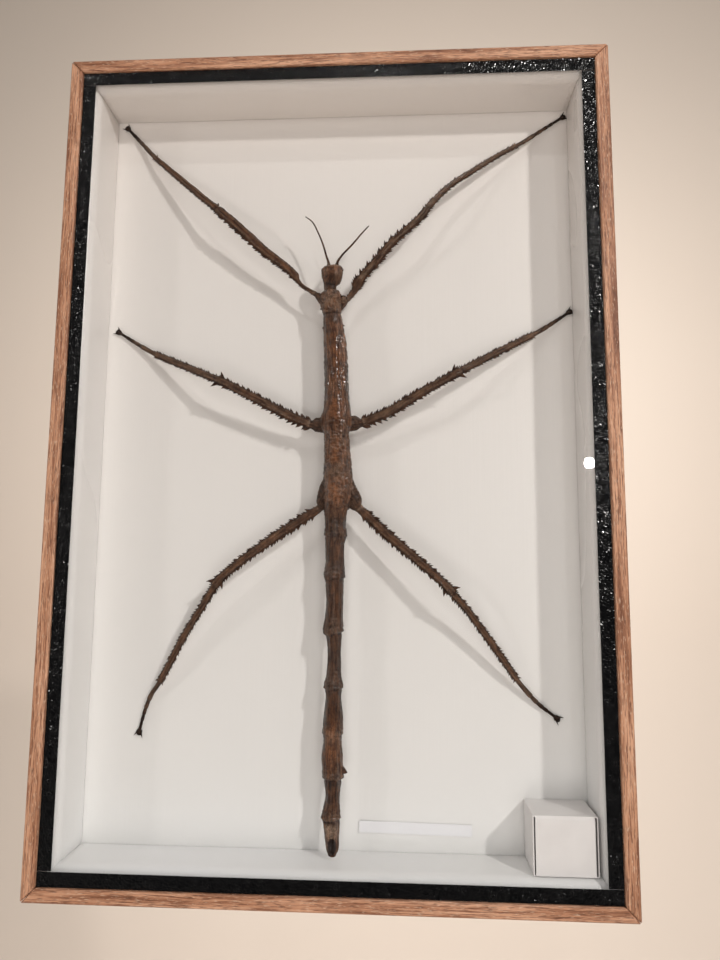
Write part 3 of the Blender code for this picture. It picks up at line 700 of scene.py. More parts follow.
class Limb:
    """A limb read at even steps, with the directions across it and towards the viewer."""

    def __init__(self, stations, step, sides):
        table = np.array(stations, float)
        middles = np.array([spot(*station[:3]) for station in stations])
        lengths = np.linalg.norm(np.diff(middles, axis=0), axis=1)
        self.marks = np.concatenate([[0.0], np.cumsum(lengths)])
        self.length = self.marks[-1]
        self.places = np.linspace(0.0, self.length, int(self.length / step) + 2)
        self.middle = np.column_stack([smooth_read(self.places, self.marks, column)
                                       for column in middles.T])
        self.half_width = smooth_read(self.places, self.marks, table[:, 3])
        self.half_depth = smooth_read(self.places, self.marks, table[:, 4])
        ahead = np.gradient(self.middle, self.places, axis=0)
        self.ahead = ahead / np.linalg.norm(ahead, axis=1, keepdims=True)
        across = np.cross(self.ahead, (0.0, -1.0, 0.0))
        self.across = across / np.linalg.norm(across, axis=1, keepdims=True)
        self.outward = np.cross(self.across, self.ahead)
        self.sides = sides
        self.angles = np.linspace(0.0, 2 * math.pi, sides, endpoint=False)

    def grain(self, along, around, seed=0.0):
        """Noise on the limb's skin, with one scale along it and one round it."""
        rings = len(self.places)
        places = np.empty((rings, self.sides, 3))
        places[..., 0] = self.places[:, None] * along
        places[..., 1] = np.cos(self.angles) * around
        places[..., 2] = np.sin(self.angles) * around
        return wavy(places, 1.0, seed).reshape(rings, self.sides)

    def near(self, angle, width):
        """A share from 0 to 1 that peaks on one line along the limb. Angles are in degrees: 0 is the
        limb's right edge as it runs outwards, 90 faces the viewer and 180 is its left edge."""
        away = np.angle(np.exp(1j * (self.angles - math.radians(angle))))
        return np.exp(-(np.degrees(away) / width) ** 2)[None, :]

    def band(self, place, width):
        """A share from 0 to 1 that peaks at one distance along the limb."""
        return np.exp(-((self.places - place) / width) ** 2)[:, None]

    def stretch(self, first, last, soft=1.0):
        """A share that is 1 between two distances and fades outside them."""
        rise = 1 / (1 + np.exp(-(self.places - first) / soft * 4))
        fall = 1 / (1 + np.exp((self.places - last) / soft * 4))
        return (rise * fall)[:, None]

    def skin(self, relief, section=1.0):
        """Points of the skin, raised or sunk by a relief in millimetres."""
        wide = self.half_width[:, None] * np.cos(self.angles) * section
        deep = self.half_depth[:, None] * np.sin(self.angles) * section
        lean_wide = np.cos(self.angles) / self.half_width[:, None]
        lean_deep = np.sin(self.angles) / self.half_depth[:, None]
        size = np.hypot(lean_wide, lean_deep)
        wide = wide + relief * lean_wide / size
        deep = deep + relief * lean_deep / size
        return (self.middle[:, None] + self.across[:, None] * wide[..., None]
                + self.outward[:, None] * deep[..., None])

    def lie(self):
        """Where the skin's points lie: along the limb, across it and out from its middle."""
        place = np.empty((len(self.places), self.sides, 3))
        place[..., 0] = self.places[:, None]
        place[..., 1] = self.half_width[:, None] * np.cos(self.angles)
        place[..., 2] = self.half_depth[:, None] * np.sin(self.angles)
        return place

    def at(self, distance):
        """Middle, direction, across, outward, half width and half depth at a distance."""
        ring = int(np.clip(np.searchsorted(self.places, distance), 0, len(self.places) - 1))
        return (self.middle[ring], self.ahead[ring], self.across[ring], self.outward[ring],
                self.half_width[ring], self.half_depth[ring])


# %% [markdown]
# Two more forms recur: the rounded six-sided section of thighs and shins, and the thorn, a cone
# that bends as it rises.

# %% Sections and thorns
THORN_TIP = 0.03


def polygon(limb, corners, share):
    """How far a rounded polygon's outline stands from the middle, 1 at its corners."""
    turn = 2 * math.pi / corners
    local = limb.angles % turn - turn / 2
    flat = math.cos(turn / 2) / np.cos(local)
    return (1 - share + share * flat)[None, :]


def thorn(root, outward, lean, height, radius, slant=0.35, flat=0.7, sides=8, levels=6,
          tint=(0, 0, 0.6)):
    """A pointed thorn that curves towards lean as it rises."""
    outward = outward / np.linalg.norm(outward)
    lean = lean - outward * np.dot(lean, outward)
    lean = lean / np.linalg.norm(lean)
    third = np.cross(outward, lean)
    angles = np.linspace(0, 2 * math.pi, sides, endpoint=False)
    points = []
    for share in np.linspace(0.0, 1.0, levels):
        size = radius * (1 - share) ** 0.75 + THORN_TIP
        middle = root + outward * height * share + lean * height * slant * share ** 1.6
        for angle in angles:
            points.append(middle + lean * size * math.cos(angle) + third * size * flat * math.sin(angle))
    return shape(points, ring_faces(levels, sides), np.tile(tint, (len(points), 1)))


# %% [markdown]
# ## Shell of the insect
# A collector's varnish lies over dry brown shell: orange where the shell is thin, dark in the
# hollows as painted shade, and grey on the ridges as a painted highlight. The mesh brings those
# shares with it, and fine noise breaks them up.
# The varnish is the shader's own coat. Its glints come from real wrinkles, and a fine beaded bump
# on the coat alone breaks them into sparks. The legs have only a thin coat.

# %% Shell finish
SHELL_BROWN = (0.105, 0.046, 0.023)
SHELL_DEEP = (0.022, 0.010, 0.007)
SHELL_WARM = (0.25, 0.085, 0.028)
SHELL_PALE = (0.34, 0.24, 0.17)
SHELL_DARK = (0.018, 0.009, 0.006)
LEG_BROWN = (0.105, 0.052, 0.030)
LEG_DEEP = (0.022, 0.011, 0.008)


def shell_finish(name, roughness, coat, brown, deep):
    """Brown shell under varnish, with the colour shares that the mesh brings."""
    made, tree, shader = finish(name, roughness, Coat_Roughness=0.11, Specular_IOR_Level=0.12)
    shares = node(tree, "SeparateColor",
                  {"Color": node(tree, "Attribute", attribute_name="tint").outputs["Color"]})
    pale, warm, dark = (shares.outputs[key] for key in ("Red", "Green", "Blue"))
    lie = node(tree, "Attribute", attribute_name="lie").outputs["Vector"]
    strands = stretched_noise(tree, (170, 1500, 1500), 4.0, 0.62, place=lie)
    blotch = stretched_noise(tree, (330, 420, 420), 3.0, 0.6, (4.0, 1.0, 7.0), lie)
    speckle = stretched_noise(tree, (1500, 2200, 2200), 3.0, 0.65, (2.0, 5.0, 1.0), lie)
    beads = stretched_noise(tree, (420, 850, 850), 1.0, 0.4, (5.0, 3.0, 2.0), lie)
    bright = tuple(1.9 * part for part in brown)
    base = ramp(tree, strands, [(0.38, deep), (0.50, brown), (0.66, bright)])
    warm_spots = product(tree, warm, ramp(tree, speckle, [(0.3, 0.25), (0.6, 1.0)]))
    warmed = mixed(tree, warm_spots, base, SHELL_WARM)
    pale_spots = product(tree, pale, ramp(tree, speckle, [(0.35, 0.25), (0.62, 1.0)]))
    paled = mixed(tree, pale_spots, warmed, SHELL_PALE)
    blotched = mixed(tree, ramp(tree, blotch, [(0.36, 0.65), (0.54, 0.0)]), paled, deep)
    speckled = mixed(tree, ramp(tree, speckle, [(0.30, 0.60), (0.45, 0.0)]), blotched, SHELL_DARK)
    darkened = mixed(tree, dark, speckled, SHELL_DARK)
    gloss = ramp(tree, blotch, [(0.40, coat), (0.70, coat * 0.35)])
    wire(tree, shader, Base_Color=darkened, Normal=bumped(tree, speckle, 0.00014), Coat_Weight=gloss,
         Coat_Normal=bumped(tree, beads, 0.00030),
         Roughness=ramp(tree, blotch, [(0.3, roughness - 0.08), (0.7, roughness + 0.14)]))
    return made


body_shell = shell_finish("varnished_body_shell", 0.54, 1.0, SHELL_BROWN, SHELL_DEEP)
leg_shell = shell_finish("leg_shell", 0.58, 0.35, LEG_BROWN, LEG_DEEP)
print("varnished shell for body and head, and barer shell for legs and feelers")

# %% [markdown]
# ## Body
# Thorax and abdomen are one grown piece, like a knotted twig. Keels run along the long middle
# thorax, the hind part is wrinkled and studded, and each abdomen ring ends in a swelling with a
# groove behind it. All of that is relief on one skin, so nothing shows a join.

# %% Body stations, from neck to tail: x, z, height, half width, half depth
THORAX = [
    (-1.7, 74.9, 12.4, 2.6, 2.3), (-1.6, 73.8, 12.4, 4.0, 3.4), (-1.5, 71.6, 12.3, 4.6, 3.9),
    (-1.4, 69.9, 12.2, 4.9, 4.2), (-1.2, 67.2, 12.2, 4.5, 4.0), (-1.0, 65.2, 12.1, 4.0, 3.6),
    (-0.9, 63.6, 12.1, 4.0, 3.6), (-0.7, 62.2, 12.1, 4.2, 3.8), (-0.3, 58.5, 12.1, 4.4, 4.1),
    (0.7, 49.3, 12.0, 5.0, 4.6), (1.1, 39.7, 12.0, 5.1, 4.8), (1.6, 27.0, 12.0, 5.3, 4.9),
    (1.8, 19.6, 12.0, 6.0, 5.2), (1.6, 16.6, 12.0, 7.0, 5.2), (1.6, 13.6, 12.0, 7.0, 5.2),
    (1.8, 9.5, 12.0, 5.4, 5.0), (2.1, 2.1, 12.0, 5.5, 5.0), (2.5, -8.0, 12.0, 6.1, 5.3),
    (2.6, -14.0, 12.0, 6.2, 5.3), (2.4, -19.5, 12.0, 6.0, 5.0), (1.7, -23.4, 12.0, 4.9, 4.3),
]
ABDOMEN = [
    (1.7, -30.8, 12.0, 4.2, 3.8), (1.9, -33.6, 12.0, 4.5, 4.1), (1.8, -35.6, 12.0, 4.3, 3.9),
    (1.5, -37.6, 12.0, 3.8, 3.5), (1.5, -44.9, 12.0, 3.7, 3.4), (1.4, -49.0, 12.0, 4.1, 3.7),
    (1.4, -51.8, 12.0, 4.3, 3.9), (1.5, -54.2, 12.0, 3.7, 3.4), (1.7, -62.0, 12.0, 3.5, 3.3),
    (1.5, -68.5, 12.0, 3.6, 3.4), (1.3, -74.3, 12.0, 4.1, 3.7), (1.6, -77.0, 12.0, 3.0, 2.9),
    (1.9, -84.6, 12.0, 2.5, 2.6), (1.7, -92.0, 12.0, 2.8, 2.8), (1.5, -97.3, 12.0, 3.6, 3.3),
    (1.6, -101.0, 12.0, 3.0, 2.9), (1.6, -108.5, 12.0, 3.6, 3.3), (1.5, -115.8, 12.0, 3.9, 3.5),
    (1.5, -118.4, 12.0, 3.5, 3.3), (1.4, -125.6, 12.0, 4.1, 3.5), (1.7, -130.5, 12.0, 3.9, 3.4),
    (1.8, -133.4, 12.0, 3.9, 3.4), (1.8, -135.2, 12.0, 3.2, 3.0), (1.7, -141.0, 12.0, 2.7, 2.7),
    (1.2, -147.6, 12.0, 3.4, 3.1), (1.1, -149.6, 12.0, 3.6, 3.2), (1.3, -151.6, 12.0, 3.1, 2.8),
    (1.6, -157.2, 11.9, 2.6, 2.3), (1.9, -161.2, 11.8, 2.3, 1.9), (1.8, -164.6, 11.7, 1.1, 0.9),
]
print(len(THORAX), "stations on the thorax,", len(ABDOMEN), "on the abdomen")

# %% [markdown]
# The relief is added up in millimetres over the whole skin. Every wrinkle and groove is a named
# height times the share of the body that has it, so the numbers can be set against a photograph one
# at a time.

# %% Body relief
BODY_STEP = 0.30
BODY_SIDES = 96
WAIST_Z = 63.6
COLLAR_Z = (75.0, 64.4)
MESOTHORAX_Z = (61.0, 19.5)
METATHORAX_Z = (10.0, -24.0)
RING_ENDS_Z = (-35.2, -53.0, -76.0, -98.6, -117.0, -134.6, -150.4)
KEELS = [(74, 0.34, 3.6), (116, 0.36, 3.6), (95, 0.16, 4.0), (140, 0.26, 5.0), (48, 0.24, 5.0),
         (22, 0.22, 7.0), (160, 0.24, 7.0), (2, 0.30, 6.0), (180, 0.30, 6.0)]
ABDOMEN_KEELS = ((90, 0.22), (58, 0.14), (122, 0.14), (0, 0.26), (180, 0.26))
FINE_GRAIN = 0.10
RIB_HEIGHT = 0.17
META_RUBBLE = 0.30
COLLAR_RUBBLE = 0.34
FOLD_HEIGHT = 0.14
RING_RUBBLE = 0.26
RING_GROOVE = 0.38
RING_LIP = 0.18
WAIST_GROOVE = 0.18

body = Limb(THORAX + ABDOMEN, BODY_STEP, BODY_SIDES)


def down(z):
    """How far along the body a height in the case lies. The body runs nearly straight down."""
    return float(np.interp(-z, -body.middle[:, 2], body.places))


def body_relief():
    """Heights over the plain skin, in millimetres."""
    fine = body.grain(1.5, 4.5, 1.0)
    ribs = body.grain(0.07, 5.5, 7.0) + 0.6 * body.grain(0.16, 10.0, 9.0)
    folds = body.grain(1.3, 1.1, 4.0)
    rubble = 1 - 2.4 * np.abs(body.grain(0.75, 2.6, 15.0))
    relief = FINE_GRAIN * fine + RIB_HEIGHT * ribs
    meso = body.stretch(down(MESOTHORAX_Z[0]), down(MESOTHORAX_Z[1]), 3.0)
    dashes = 0.5 + 0.5 * np.clip(body.grain(0.5, 2.0, 11.0) * 3.0, -1, 1)
    for angle, height, width in KEELS:
        relief += height * meso * dashes * body.near(angle, width)
    collar = body.stretch(down(COLLAR_Z[0]), down(COLLAR_Z[1]), 1.5)
    meta = body.stretch(down(METATHORAX_Z[0]), down(METATHORAX_Z[1]), 3.0)
    relief += (meta * META_RUBBLE + collar * COLLAR_RUBBLE) * rubble
    relief += (meta + collar) * FOLD_HEIGHT * folds
    for z in RING_ENDS_Z:
        swelling = body.band(down(z + 2.2), 2.6)
        relief += swelling * (RING_RUBBLE * rubble + 0.12 * folds)
        relief -= RING_GROOVE * body.band(down(z), 0.5) * (0.7 + body.grain(0.3, 2.0, 13.0))
        relief += RING_LIP * body.band(down(z + 0.9), 0.45)
    abdomen = body.stretch(down(-24), body.length, 3.0)
    relief += abdomen * (0.10 * ribs + 0.07 * folds)
    for angle, height in ABDOMEN_KEELS:
        relief += abdomen * height * body.near(angle, 6.0)
    relief -= WAIST_GROOVE * body.band(down(WAIST_Z), 0.5)
    return relief


relief = body_relief()
print("body", round(body.length, 1), "mm long, relief", round(float(relief.min()), 2), "to",
      round(float(relief.max()), 2), "mm")

# %% [markdown]
# Tubercles are small knobs that sit where the photograph shows their glints. Each is a soft hill on
# the skin at a place given by X and Z, and rows of them make the beaded rims behind the collar,
# between the hips and at the abdomen's end.

# %% Tubercles: x, z, radius, height
COLLAR_KNOBS = [
    (-2.9, 72.6, 0.8, 0.5), (0.2, 72.9, 0.7, 0.5), (-1.0, 70.9, 0.9, 0.8), (0.4, 70.6, 0.8, 0.9),
    (-3.5, 70.2, 0.8, 0.5), (1.6, 68.9, 0.7, 0.6), (-1.6, 68.6, 0.9, 0.6), (1.5, 67.5, 0.8, 0.8),
    (-0.3, 67.2, 0.8, 0.6), (-3.6, 67.4, 0.8, 0.5), (0.3, 65.9, 0.6, 0.5),
]
HIP_KNOBS = [
    (-0.7, 14.4, 0.55, 0.55), (0.6, 14.4, 0.5, 0.5), (3.7, 14.4, 0.5, 0.5), (3.8, 13.0, 0.6, 0.65),
    (2.2, 12.4, 0.5, 0.35), (5.2, 13.8, 0.5, 0.4), (-2.6, 13.9, 0.6, 0.4), (-3.9, 12.6, 0.6, 0.4),
    (6.3, 12.6, 0.6, 0.4), (1.4, 15.9, 0.5, 0.3), (3.0, 16.2, 0.5, 0.35),
]
HIND_KNOBS = [
    (0.3, 3.0, 0.55, 0.5), (3.6, 2.9, 0.55, 0.6), (-0.4, 0.6, 0.5, 0.45), (0.7, -1.1, 0.5, 0.5),
    (3.3, -0.3, 0.5, 0.4), (4.1, -3.0, 0.5, 0.45), (0.1, -4.4, 0.6, 0.5), (3.0, -4.9, 0.7, 0.45),
    (4.4, -4.3, 0.5, 0.4), (2.2, -7.3, 0.8, 0.4), (0.5, -8.3, 0.5, 0.45), (3.4, -8.9, 0.6, 0.4),
    (2.6, -11.4, 0.7, 0.7), (2.7, -12.6, 0.7, 0.7), (0.1, -12.2, 0.6, 0.5), (1.2, -14.4, 0.5, 0.5),
    (3.0, -15.6, 0.6, 0.6), (3.3, -17.2, 0.6, 0.6), (0.0, -16.3, 0.6, 0.5), (1.6, -17.4, 0.5, 0.5),
    (3.9, -13.8, 0.5, 0.4), (4.4, -16.4, 0.5, 0.4), (2.7, -19.8, 0.6, 0.5), (0.2, -19.6, 0.6, 0.5),
]
ABDOMEN_KNOBS = [
    (1.8, -28.6, 0.6, 0.5), (2.0, -31.1, 0.7, 0.6), (0.4, -30.2, 0.6, 0.4), (1.8, -34.0, 0.7, 0.5),
    (1.5, -48.4, 0.7, 0.6), (0.3, -47.0, 0.5, 0.4), (1.7, -50.6, 0.6, 0.6), (0.2, -50.2, 0.5, 0.4),
    (1.3, -69.8, 0.7, 0.5), (1.2, -73.6, 0.8, 0.4), (2.9, -91.6, 0.5, 0.4), (1.6, -96.0, 0.6, 0.4),
]


def bead_row(z, half_span, count, radius, height):
    """Beads across the viewer's side of the body."""
    centre_x = float(np.interp(-z, -body.middle[:, 2], body.middle[:, 0]))
    return [(centre_x + offset, z + 0.25 * math.sin(3 * number), radius, height)
            for number, offset in enumerate(np.linspace(-half_span, half_span, count))]


# %% [markdown]
# Rows of beads join the single knobs, and each knob raises the skin round it. The same X and Z meet
# the far side too, so a share that fades out at the body's edges keeps the knobs on the near side.

# %% Raising the knobs
knobs = COLLAR_KNOBS + HIP_KNOBS + HIND_KNOBS + ABDOMEN_KNOBS
knobs += bead_row(64.6, 3.4, 9, 0.42, 0.38) + bead_row(-132.6, 3.3, 7, 0.5, 0.5)
knobs += bead_row(-149.4, 2.8, 6, 0.5, 0.3) + bead_row(12.4, 5.4, 11, 0.42, 0.28)

plain_skin = body.skin(np.zeros_like(relief))
front_share = np.clip(np.sin(body.angles), 0, 1)[None, :] ** 0.5
for x, z, radius, height in knobs:
    away = (plain_skin[..., 0] - x) ** 2 + (plain_skin[..., 2] - z) ** 2
    relief += height * np.exp(-away / radius ** 2) * front_share
print(len(knobs), "knobs on the body")

# %% [markdown]
# The last ring ends in a dark oval opening under the tail plate. A hollow that deep can't be a knob,
# so the skin is sunk there and its rim stays. The hollow is also painted dark, a painted shade.

# %% Tail opening
OPENING = (1.75, -160.6, 1.75, 3.3)
OPENING_DEPTH = 1.5

oval = (((plain_skin[..., 0] - OPENING[0]) / OPENING[2]) ** 2
        + ((plain_skin[..., 2] - OPENING[1]) / OPENING[3]) ** 2)
in_opening = 1 / (1 + np.exp((oval - 1) * 9)) * (np.sin(body.angles)[None, :] > 0.1)
relief -= OPENING_DEPTH * in_opening
print("tail opening", 2 * OPENING[2], "x", 2 * OPENING[3], "mm")

# %% [markdown]
# Dry shell isn't one brown. Soft stains, each a place with a size, set where it is pale, warm or
# dark, and the relief itself adds painted light: knobs are painted pale as a highlight, and
# hollows dark as shade.

# %% Body colours: x, z, half width, half length, then the shares of pale, warm and dark
BODY_STAINS = [
    (1.7, 20.5, 2.6, 4.6, 0.10, 0.95, 0.0), (1.9, 0.5, 2.9, 5.0, 0.05, 0.75, 0.0),
    (1.8, -15.0, 3.0, 6.0, 0.08, 0.85, 0.0), (2.1, -7.0, 3.8, 3.0, 0.28, 0.0, 0.30),
    (-0.6, 84.0, 2.0, 2.0, 0.0, 0.6, 0.0), (-1.2, 69.0, 3.0, 4.0, 0.22, 0.25, 0.0),
    (1.2, 46.0, 2.0, 12.0, 0.0, 0.35, 0.0), (5.0, 48.0, 0.9, 14.0, 0.05, 0.45, 0.0),
    (5.9, 32.0, 0.9, 12.0, 0.0, 0.0, 0.65), (-3.4, 32.0, 0.9, 12.0, 0.0, 0.0, 0.55),
    (2.2, -27.0, 3.0, 4.0, 0.10, 0.15, 0.25), (3.6, -40.0, 1.2, 6.0, 0.15, 0.4, 0.0),
    (0.2, -40.0, 1.2, 6.0, 0.12, 0.2, 0.0), (1.9, -60.0, 2.4, 9.0, 0.05, 0.3, 0.0),
    (1.4, -72.0, 3.0, 3.0, 0.25, 0.1, 0.0), (1.2, -110.0, 1.5, 9.0, 0.0, 0.6, 0.0),
    (1.1, -117.5, 2.0, 2.4, 0.45, 0.5, 0.0), (1.0, -124.0, 1.8, 6.0, 0.0, 0.45, 0.0),
    (1.8, -142.0, 3.2, 6.5, 0.0, 0.0, 0.45), (1.2, -150.8, 3.2, 0.9, 0.0, 0.0, 0.8),
    (1.2, -154.2, 2.6, 2.8, 1.5, 0.5, 0.0), (-0.9, -159.5, 0.6, 3.5, 0.25, 0.3, 0.0),
    (2.2, -135.6, 3.0, 1.5, 0.0, 0.0, 0.55), (1.6, 15.0, 5.5, 2.0, 0.0, 0.2, 0.35),
]


def stained(points, stains, tint):
    """Add soft stains to a skin's shares, on the viewer's side and the far side alike."""
    for x, z, wide, long, *shares in stains:
        share = np.exp(-((points[..., 0] - x) / wide) ** 2 - ((points[..., 2] - z) / long) ** 2)
        tint += share[..., None] * np.array(shares)
    return tint


def relief_highlight_and_shade(relief, pale=0.30, dark=0.55):
    """Shares from the relief itself: a painted highlight on knobs and painted shade in hollows."""
    tint = np.zeros((*relief.shape, 3))
    tint[..., 0] = pale * np.clip(relief / 0.5, 0, 1)
    tint[..., 2] = dark * np.clip(-relief / 0.3, 0, 1)
    return tint


# Stains, with painted shade in the hollows and a painted highlight on the knobs
body_tint = stained(plain_skin, BODY_STAINS, relief_highlight_and_shade(relief))
# Painted shade inside the tail opening, and a dark joint at the waist
body_tint[..., 2] += in_opening + 0.5 * body.band(down(WAIST_Z), 0.6)
# Painted shade along both sides of the body, where its round turns away
body_tint[..., 2] += 0.40 * (body.near(4, 17.0) + body.near(176, 17.0))
body_tint[..., 2] += 0.45 * body.stretch(down(-26.0), down(-112.0), 4.0)
body_points = body.skin(relief)
body_shapes = [shape(body_points, ring_faces(len(body.places), body.sides), body_tint, body.lie())]
print(len(BODY_STAINS), "stains on a skin of", body.sides, "points a ring")

# %% [markdown]
# Large thorns on the body are few: a pair on the collar, a pair on the shoulders, and two points of
# unlike length near the tail. Small thorns stand along both sides of the thorax.

# %% Body thorns
RIGHT, LEFT = 1, -1
THORN_SINK = 0.35


def side_thorn(limb, distance, side, height, radius=0.55, slant=0.35, lift=0.0,
               tint=(0.0, 0.0, 0.6), small=False):
    """A thorn on the right or left edge of a limb as it runs outwards, lifted towards the viewer."""
    middle, ahead, across, outward, half_width, half_depth = limb.at(distance)
    turn = math.radians(lift)
    away = across * side * math.cos(turn) + outward * math.sin(turn)
    root = (middle + across * side * math.cos(turn) * (half_width - THORN_SINK)
            + outward * math.sin(turn) * (half_depth - THORN_SINK))
    sides, levels = (6, 4) if small else (8, 6)
    return thorn(root, away, ahead, height + THORN_SINK, radius, slant, sides=sides, levels=levels,
                 tint=tint)


for z, side, height in ((67.2, RIGHT, 0.8), (67.2, LEFT, 0.8),
                        (58.5, RIGHT, 0.7), (58.5, LEFT, 0.7)):
    body_shapes.append(side_thorn(body, down(z), side, height, 0.8))
body_shapes.append(side_thorn(body, down(-130.6), LEFT, 2.2, 2.2, 0.5))
body_shapes.append(side_thorn(body, down(-131.0), RIGHT, 0.7, 1.2, 0.2))
thorn_dice = np.random.default_rng(11)
for z in np.arange(55.0, -18.0, -4.3):
    for side in (RIGHT, LEFT):
        body_shapes.append(side_thorn(body, down(z + thorn_dice.uniform(-1, 1)), side,
                                      thorn_dice.uniform(0.15, 0.4), 0.45, 0.3,
                                      thorn_dice.uniform(0, 25)))
add_piece("insect_body_skin", body_shapes, body_shell, ["insect_body"])

# %% [markdown]
# ## Head
# The head is a rounded box that is widest behind the eyes, with a reddish crown, two small horns and
# mouthparts underneath. The eyes are bulges of their own, set into the sides near the front.

# %% Head stations: x, z, height, half width, half depth
HEAD = [
    (-1.8, 73.6, 12.2, 2.5, 2.1), (-1.9, 75.6, 12.3, 2.7, 2.3), (-1.9, 77.2, 12.5, 2.8, 2.4),
    (-1.7, 78.2, 12.8, 3.5, 2.8), (-1.35, 79.4, 13.0, 4.2, 3.2), (-1.1, 81.0, 13.1, 4.6, 3.5),
    (-1.0, 83.3, 13.1, 4.8, 3.6), (-1.1, 84.7, 13.0, 4.4, 3.2), (-1.2, 85.6, 12.9, 3.7, 2.5),
    (-1.2, 86.2, 12.9, 2.5, 1.5),
]
X_AXIS, Y_AXIS, Z_AXIS = np.eye(3)
BALL_AXES = (X_AXIS, Z_AXIS, -Y_AXIS)


def ball(middle, sizes, axes, rings=14, sides=20, tint=(0, 0, 0), rough=0.0, seed=0.0):
    """A rounded knob with half sizes along three axes."""
    points = []
    for latitude in np.linspace(-math.pi / 2 + 0.02, math.pi / 2 - 0.02, rings):
        for angle in np.linspace(0, 2 * math.pi, sides, endpoint=False):
            local = (math.cos(latitude) * math.cos(angle), math.cos(latitude) * math.sin(angle),
                     math.sin(latitude))
            points.append(middle + sum(axis * size * part
                                       for axis, size, part in zip(axes, sizes, local)))
    points = np.array(points)
    if rough:
        away = points - middle
        points = points + away * rough * wavy(points, 1.6, seed)[:, None]
    return shape(points, ring_faces(rings, sides), np.tile(tint, (len(points), 1)))


print(len(HEAD), "stations on the head")

# %% [markdown]
# The crown has two long swellings with a furrow between them, a raised brow line at the front and a
# dent at the neck. They are relief on the head's one skin.

# %% Head skin
head = Limb(HEAD, 0.2, 64)
head_relief = 0.10 * head.grain(1.5, 3.0, 3.0) + 0.20 * (0.5 - np.abs(head.grain(1.1, 3.2, 8.0)))
head_relief -= 0.26 * head.near(92, 6.0) * head.stretch(6.0, 11.5, 2.0)
head_relief += 0.24 * head.near(66, 10.0) * head.stretch(6.0, 11.5, 2.0)
head_relief += 0.24 * head.near(118, 10.0) * head.stretch(6.0, 11.5, 2.0)
head_relief += 0.30 * head.band(11.0, 0.5) - 0.22 * head.band(10.2, 0.4)
head_relief -= 0.30 * head.near(90, 60.0) * head.band(4.2, 0.8)
head_skin = head.skin(head_relief)
HEAD_STAINS = [
    (-0.6, 83.6, 2.2, 2.2, 0.15, 0.75, 0.0), (-0.8, 79.9, 2.6, 1.6, 0.0, 0.0, 0.75),
    (-1.2, 85.4, 4.0, 0.7, 0.45, 0.2, 0.0), (-5.2, 82.4, 1.2, 2.6, 0.28, 0.0, 0.0),
    (2.9, 81.0, 1.6, 2.2, 0.12, 0.0, 0.25), (-1.8, 76.2, 3.6, 1.6, 0.0, 0.0, 0.80),
]
# Stains, with painted shade in the head's hollows and a painted highlight on its ridges
head_tint = stained(head_skin, HEAD_STAINS, relief_highlight_and_shade(head_relief, 0.35, 0.5))
head_shapes = [shape(head_skin, ring_faces(len(head.places), head.sides), head_tint, head.lie())]
print("head", round(head.length, 1), "mm long")

# %% [markdown]
# Eyes, brows, feeler sockets, feeding limbs and jaw are knobs set into the skin, because each is a
# bulge with its own outline.

# %% Eyes, brows and mouthparts
EYE_OFFSET = 3.9
BROW_OFFSET = 3.5
SOCKET_OFFSET = 1.95
# How far each palp joint lies below the mouth, and its size
PALP_JOINTS = ((2.4, 0.62), (3.4, 0.5), (4.2, 0.38))

for side_x in (-1, 1):
    eye = spot(-1.0 + side_x * EYE_OFFSET, 83.9, 13.4)
    head_shapes.append(ball(eye, (1.05, 1.35, 1.25), BALL_AXES, tint=(0.10, 0.05, 0.35)))
    brow = spot(-1.0 + side_x * BROW_OFFSET, 82.6, 14.3)
    head_shapes.append(ball(brow, (1.2, 1.8, 1.0), BALL_AXES, tint=(0.25, 0.1, 0.1),
                            rough=0.25, seed=side_x))
    socket = spot(-0.75 + side_x * SOCKET_OFFSET, 85.6, 13.9)
    pale = 0.4 if side_x < 0 else 0.0
    head_shapes.append(ball(socket, (0.8, 0.8, 0.8), BALL_AXES, tint=(pale, 0.1, 0.2)))
    for step, (down_by, size) in enumerate(PALP_JOINTS):
        palp = spot(-1.0 + side_x * (1.3 + 0.25 * step), 85.8 - 0.3 * step, 13.0 - down_by)
        head_shapes.append(ball(palp, (size, size * 0.9, 0.75), BALL_AXES, 10, 12, (0.05, 0.1, 0.2)))
jaw = spot(-1.0, 84.6, 11.0)
head_shapes.append(ball(jaw, (1.9, 1.4, 1.7), BALL_AXES, tint=(0.05, 0.2, 0.15), rough=0.2, seed=4.0))
print(len(head_shapes) - 1, "knobs set into the head")

# %% [markdown]
# Two small horns stand on the viewer's right of the crown, and blunt thorns are spread over the
# rest. Each has a root, a direction, a height and a radius.

# %% Horns
HORNS = [
    (spot(3.0, 83.6, 14.4), (0.15, -0.1, 1.0), 2.3, 0.6),
    (spot(3.3, 83.0, 14.0), (1.0, -0.1, 0.55), 1.4, 0.55),
    (spot(-3.6, 84.9, 14.6), (-0.4, -0.8, 0.4), 0.7, 0.5),
    (spot(-2.2, 82.0, 16.0), (-0.1, -1.0, 0.1), 0.8, 0.5),
    (spot(0.4, 82.1, 16.0), (0.1, -1.0, 0.1), 0.8, 0.5),
    (spot(1.7, 80.6, 15.6), (0.4, -0.8, 0.0), 0.7, 0.45),
    (spot(-3.4, 80.4, 15.4), (-0.5, -0.8, 0.0), 0.7, 0.45),
]
for root, away, height, radius in HORNS:
    head_shapes.append(thorn(root, np.array(away), Z_AXIS, height, radius, tint=(0.0, 0.0, 0.75)))
add_piece("insect_head_skin", head_shapes, body_shell, ["insect_head"])

# %% [markdown]
# ## Feelers
# A feeler is a thread of short segments on a thicker first joint. The segments are a ripple in the
# radius, so that the thread keeps one smooth skin. The right first joint is dark and the left one
# pale, as on this specimen.

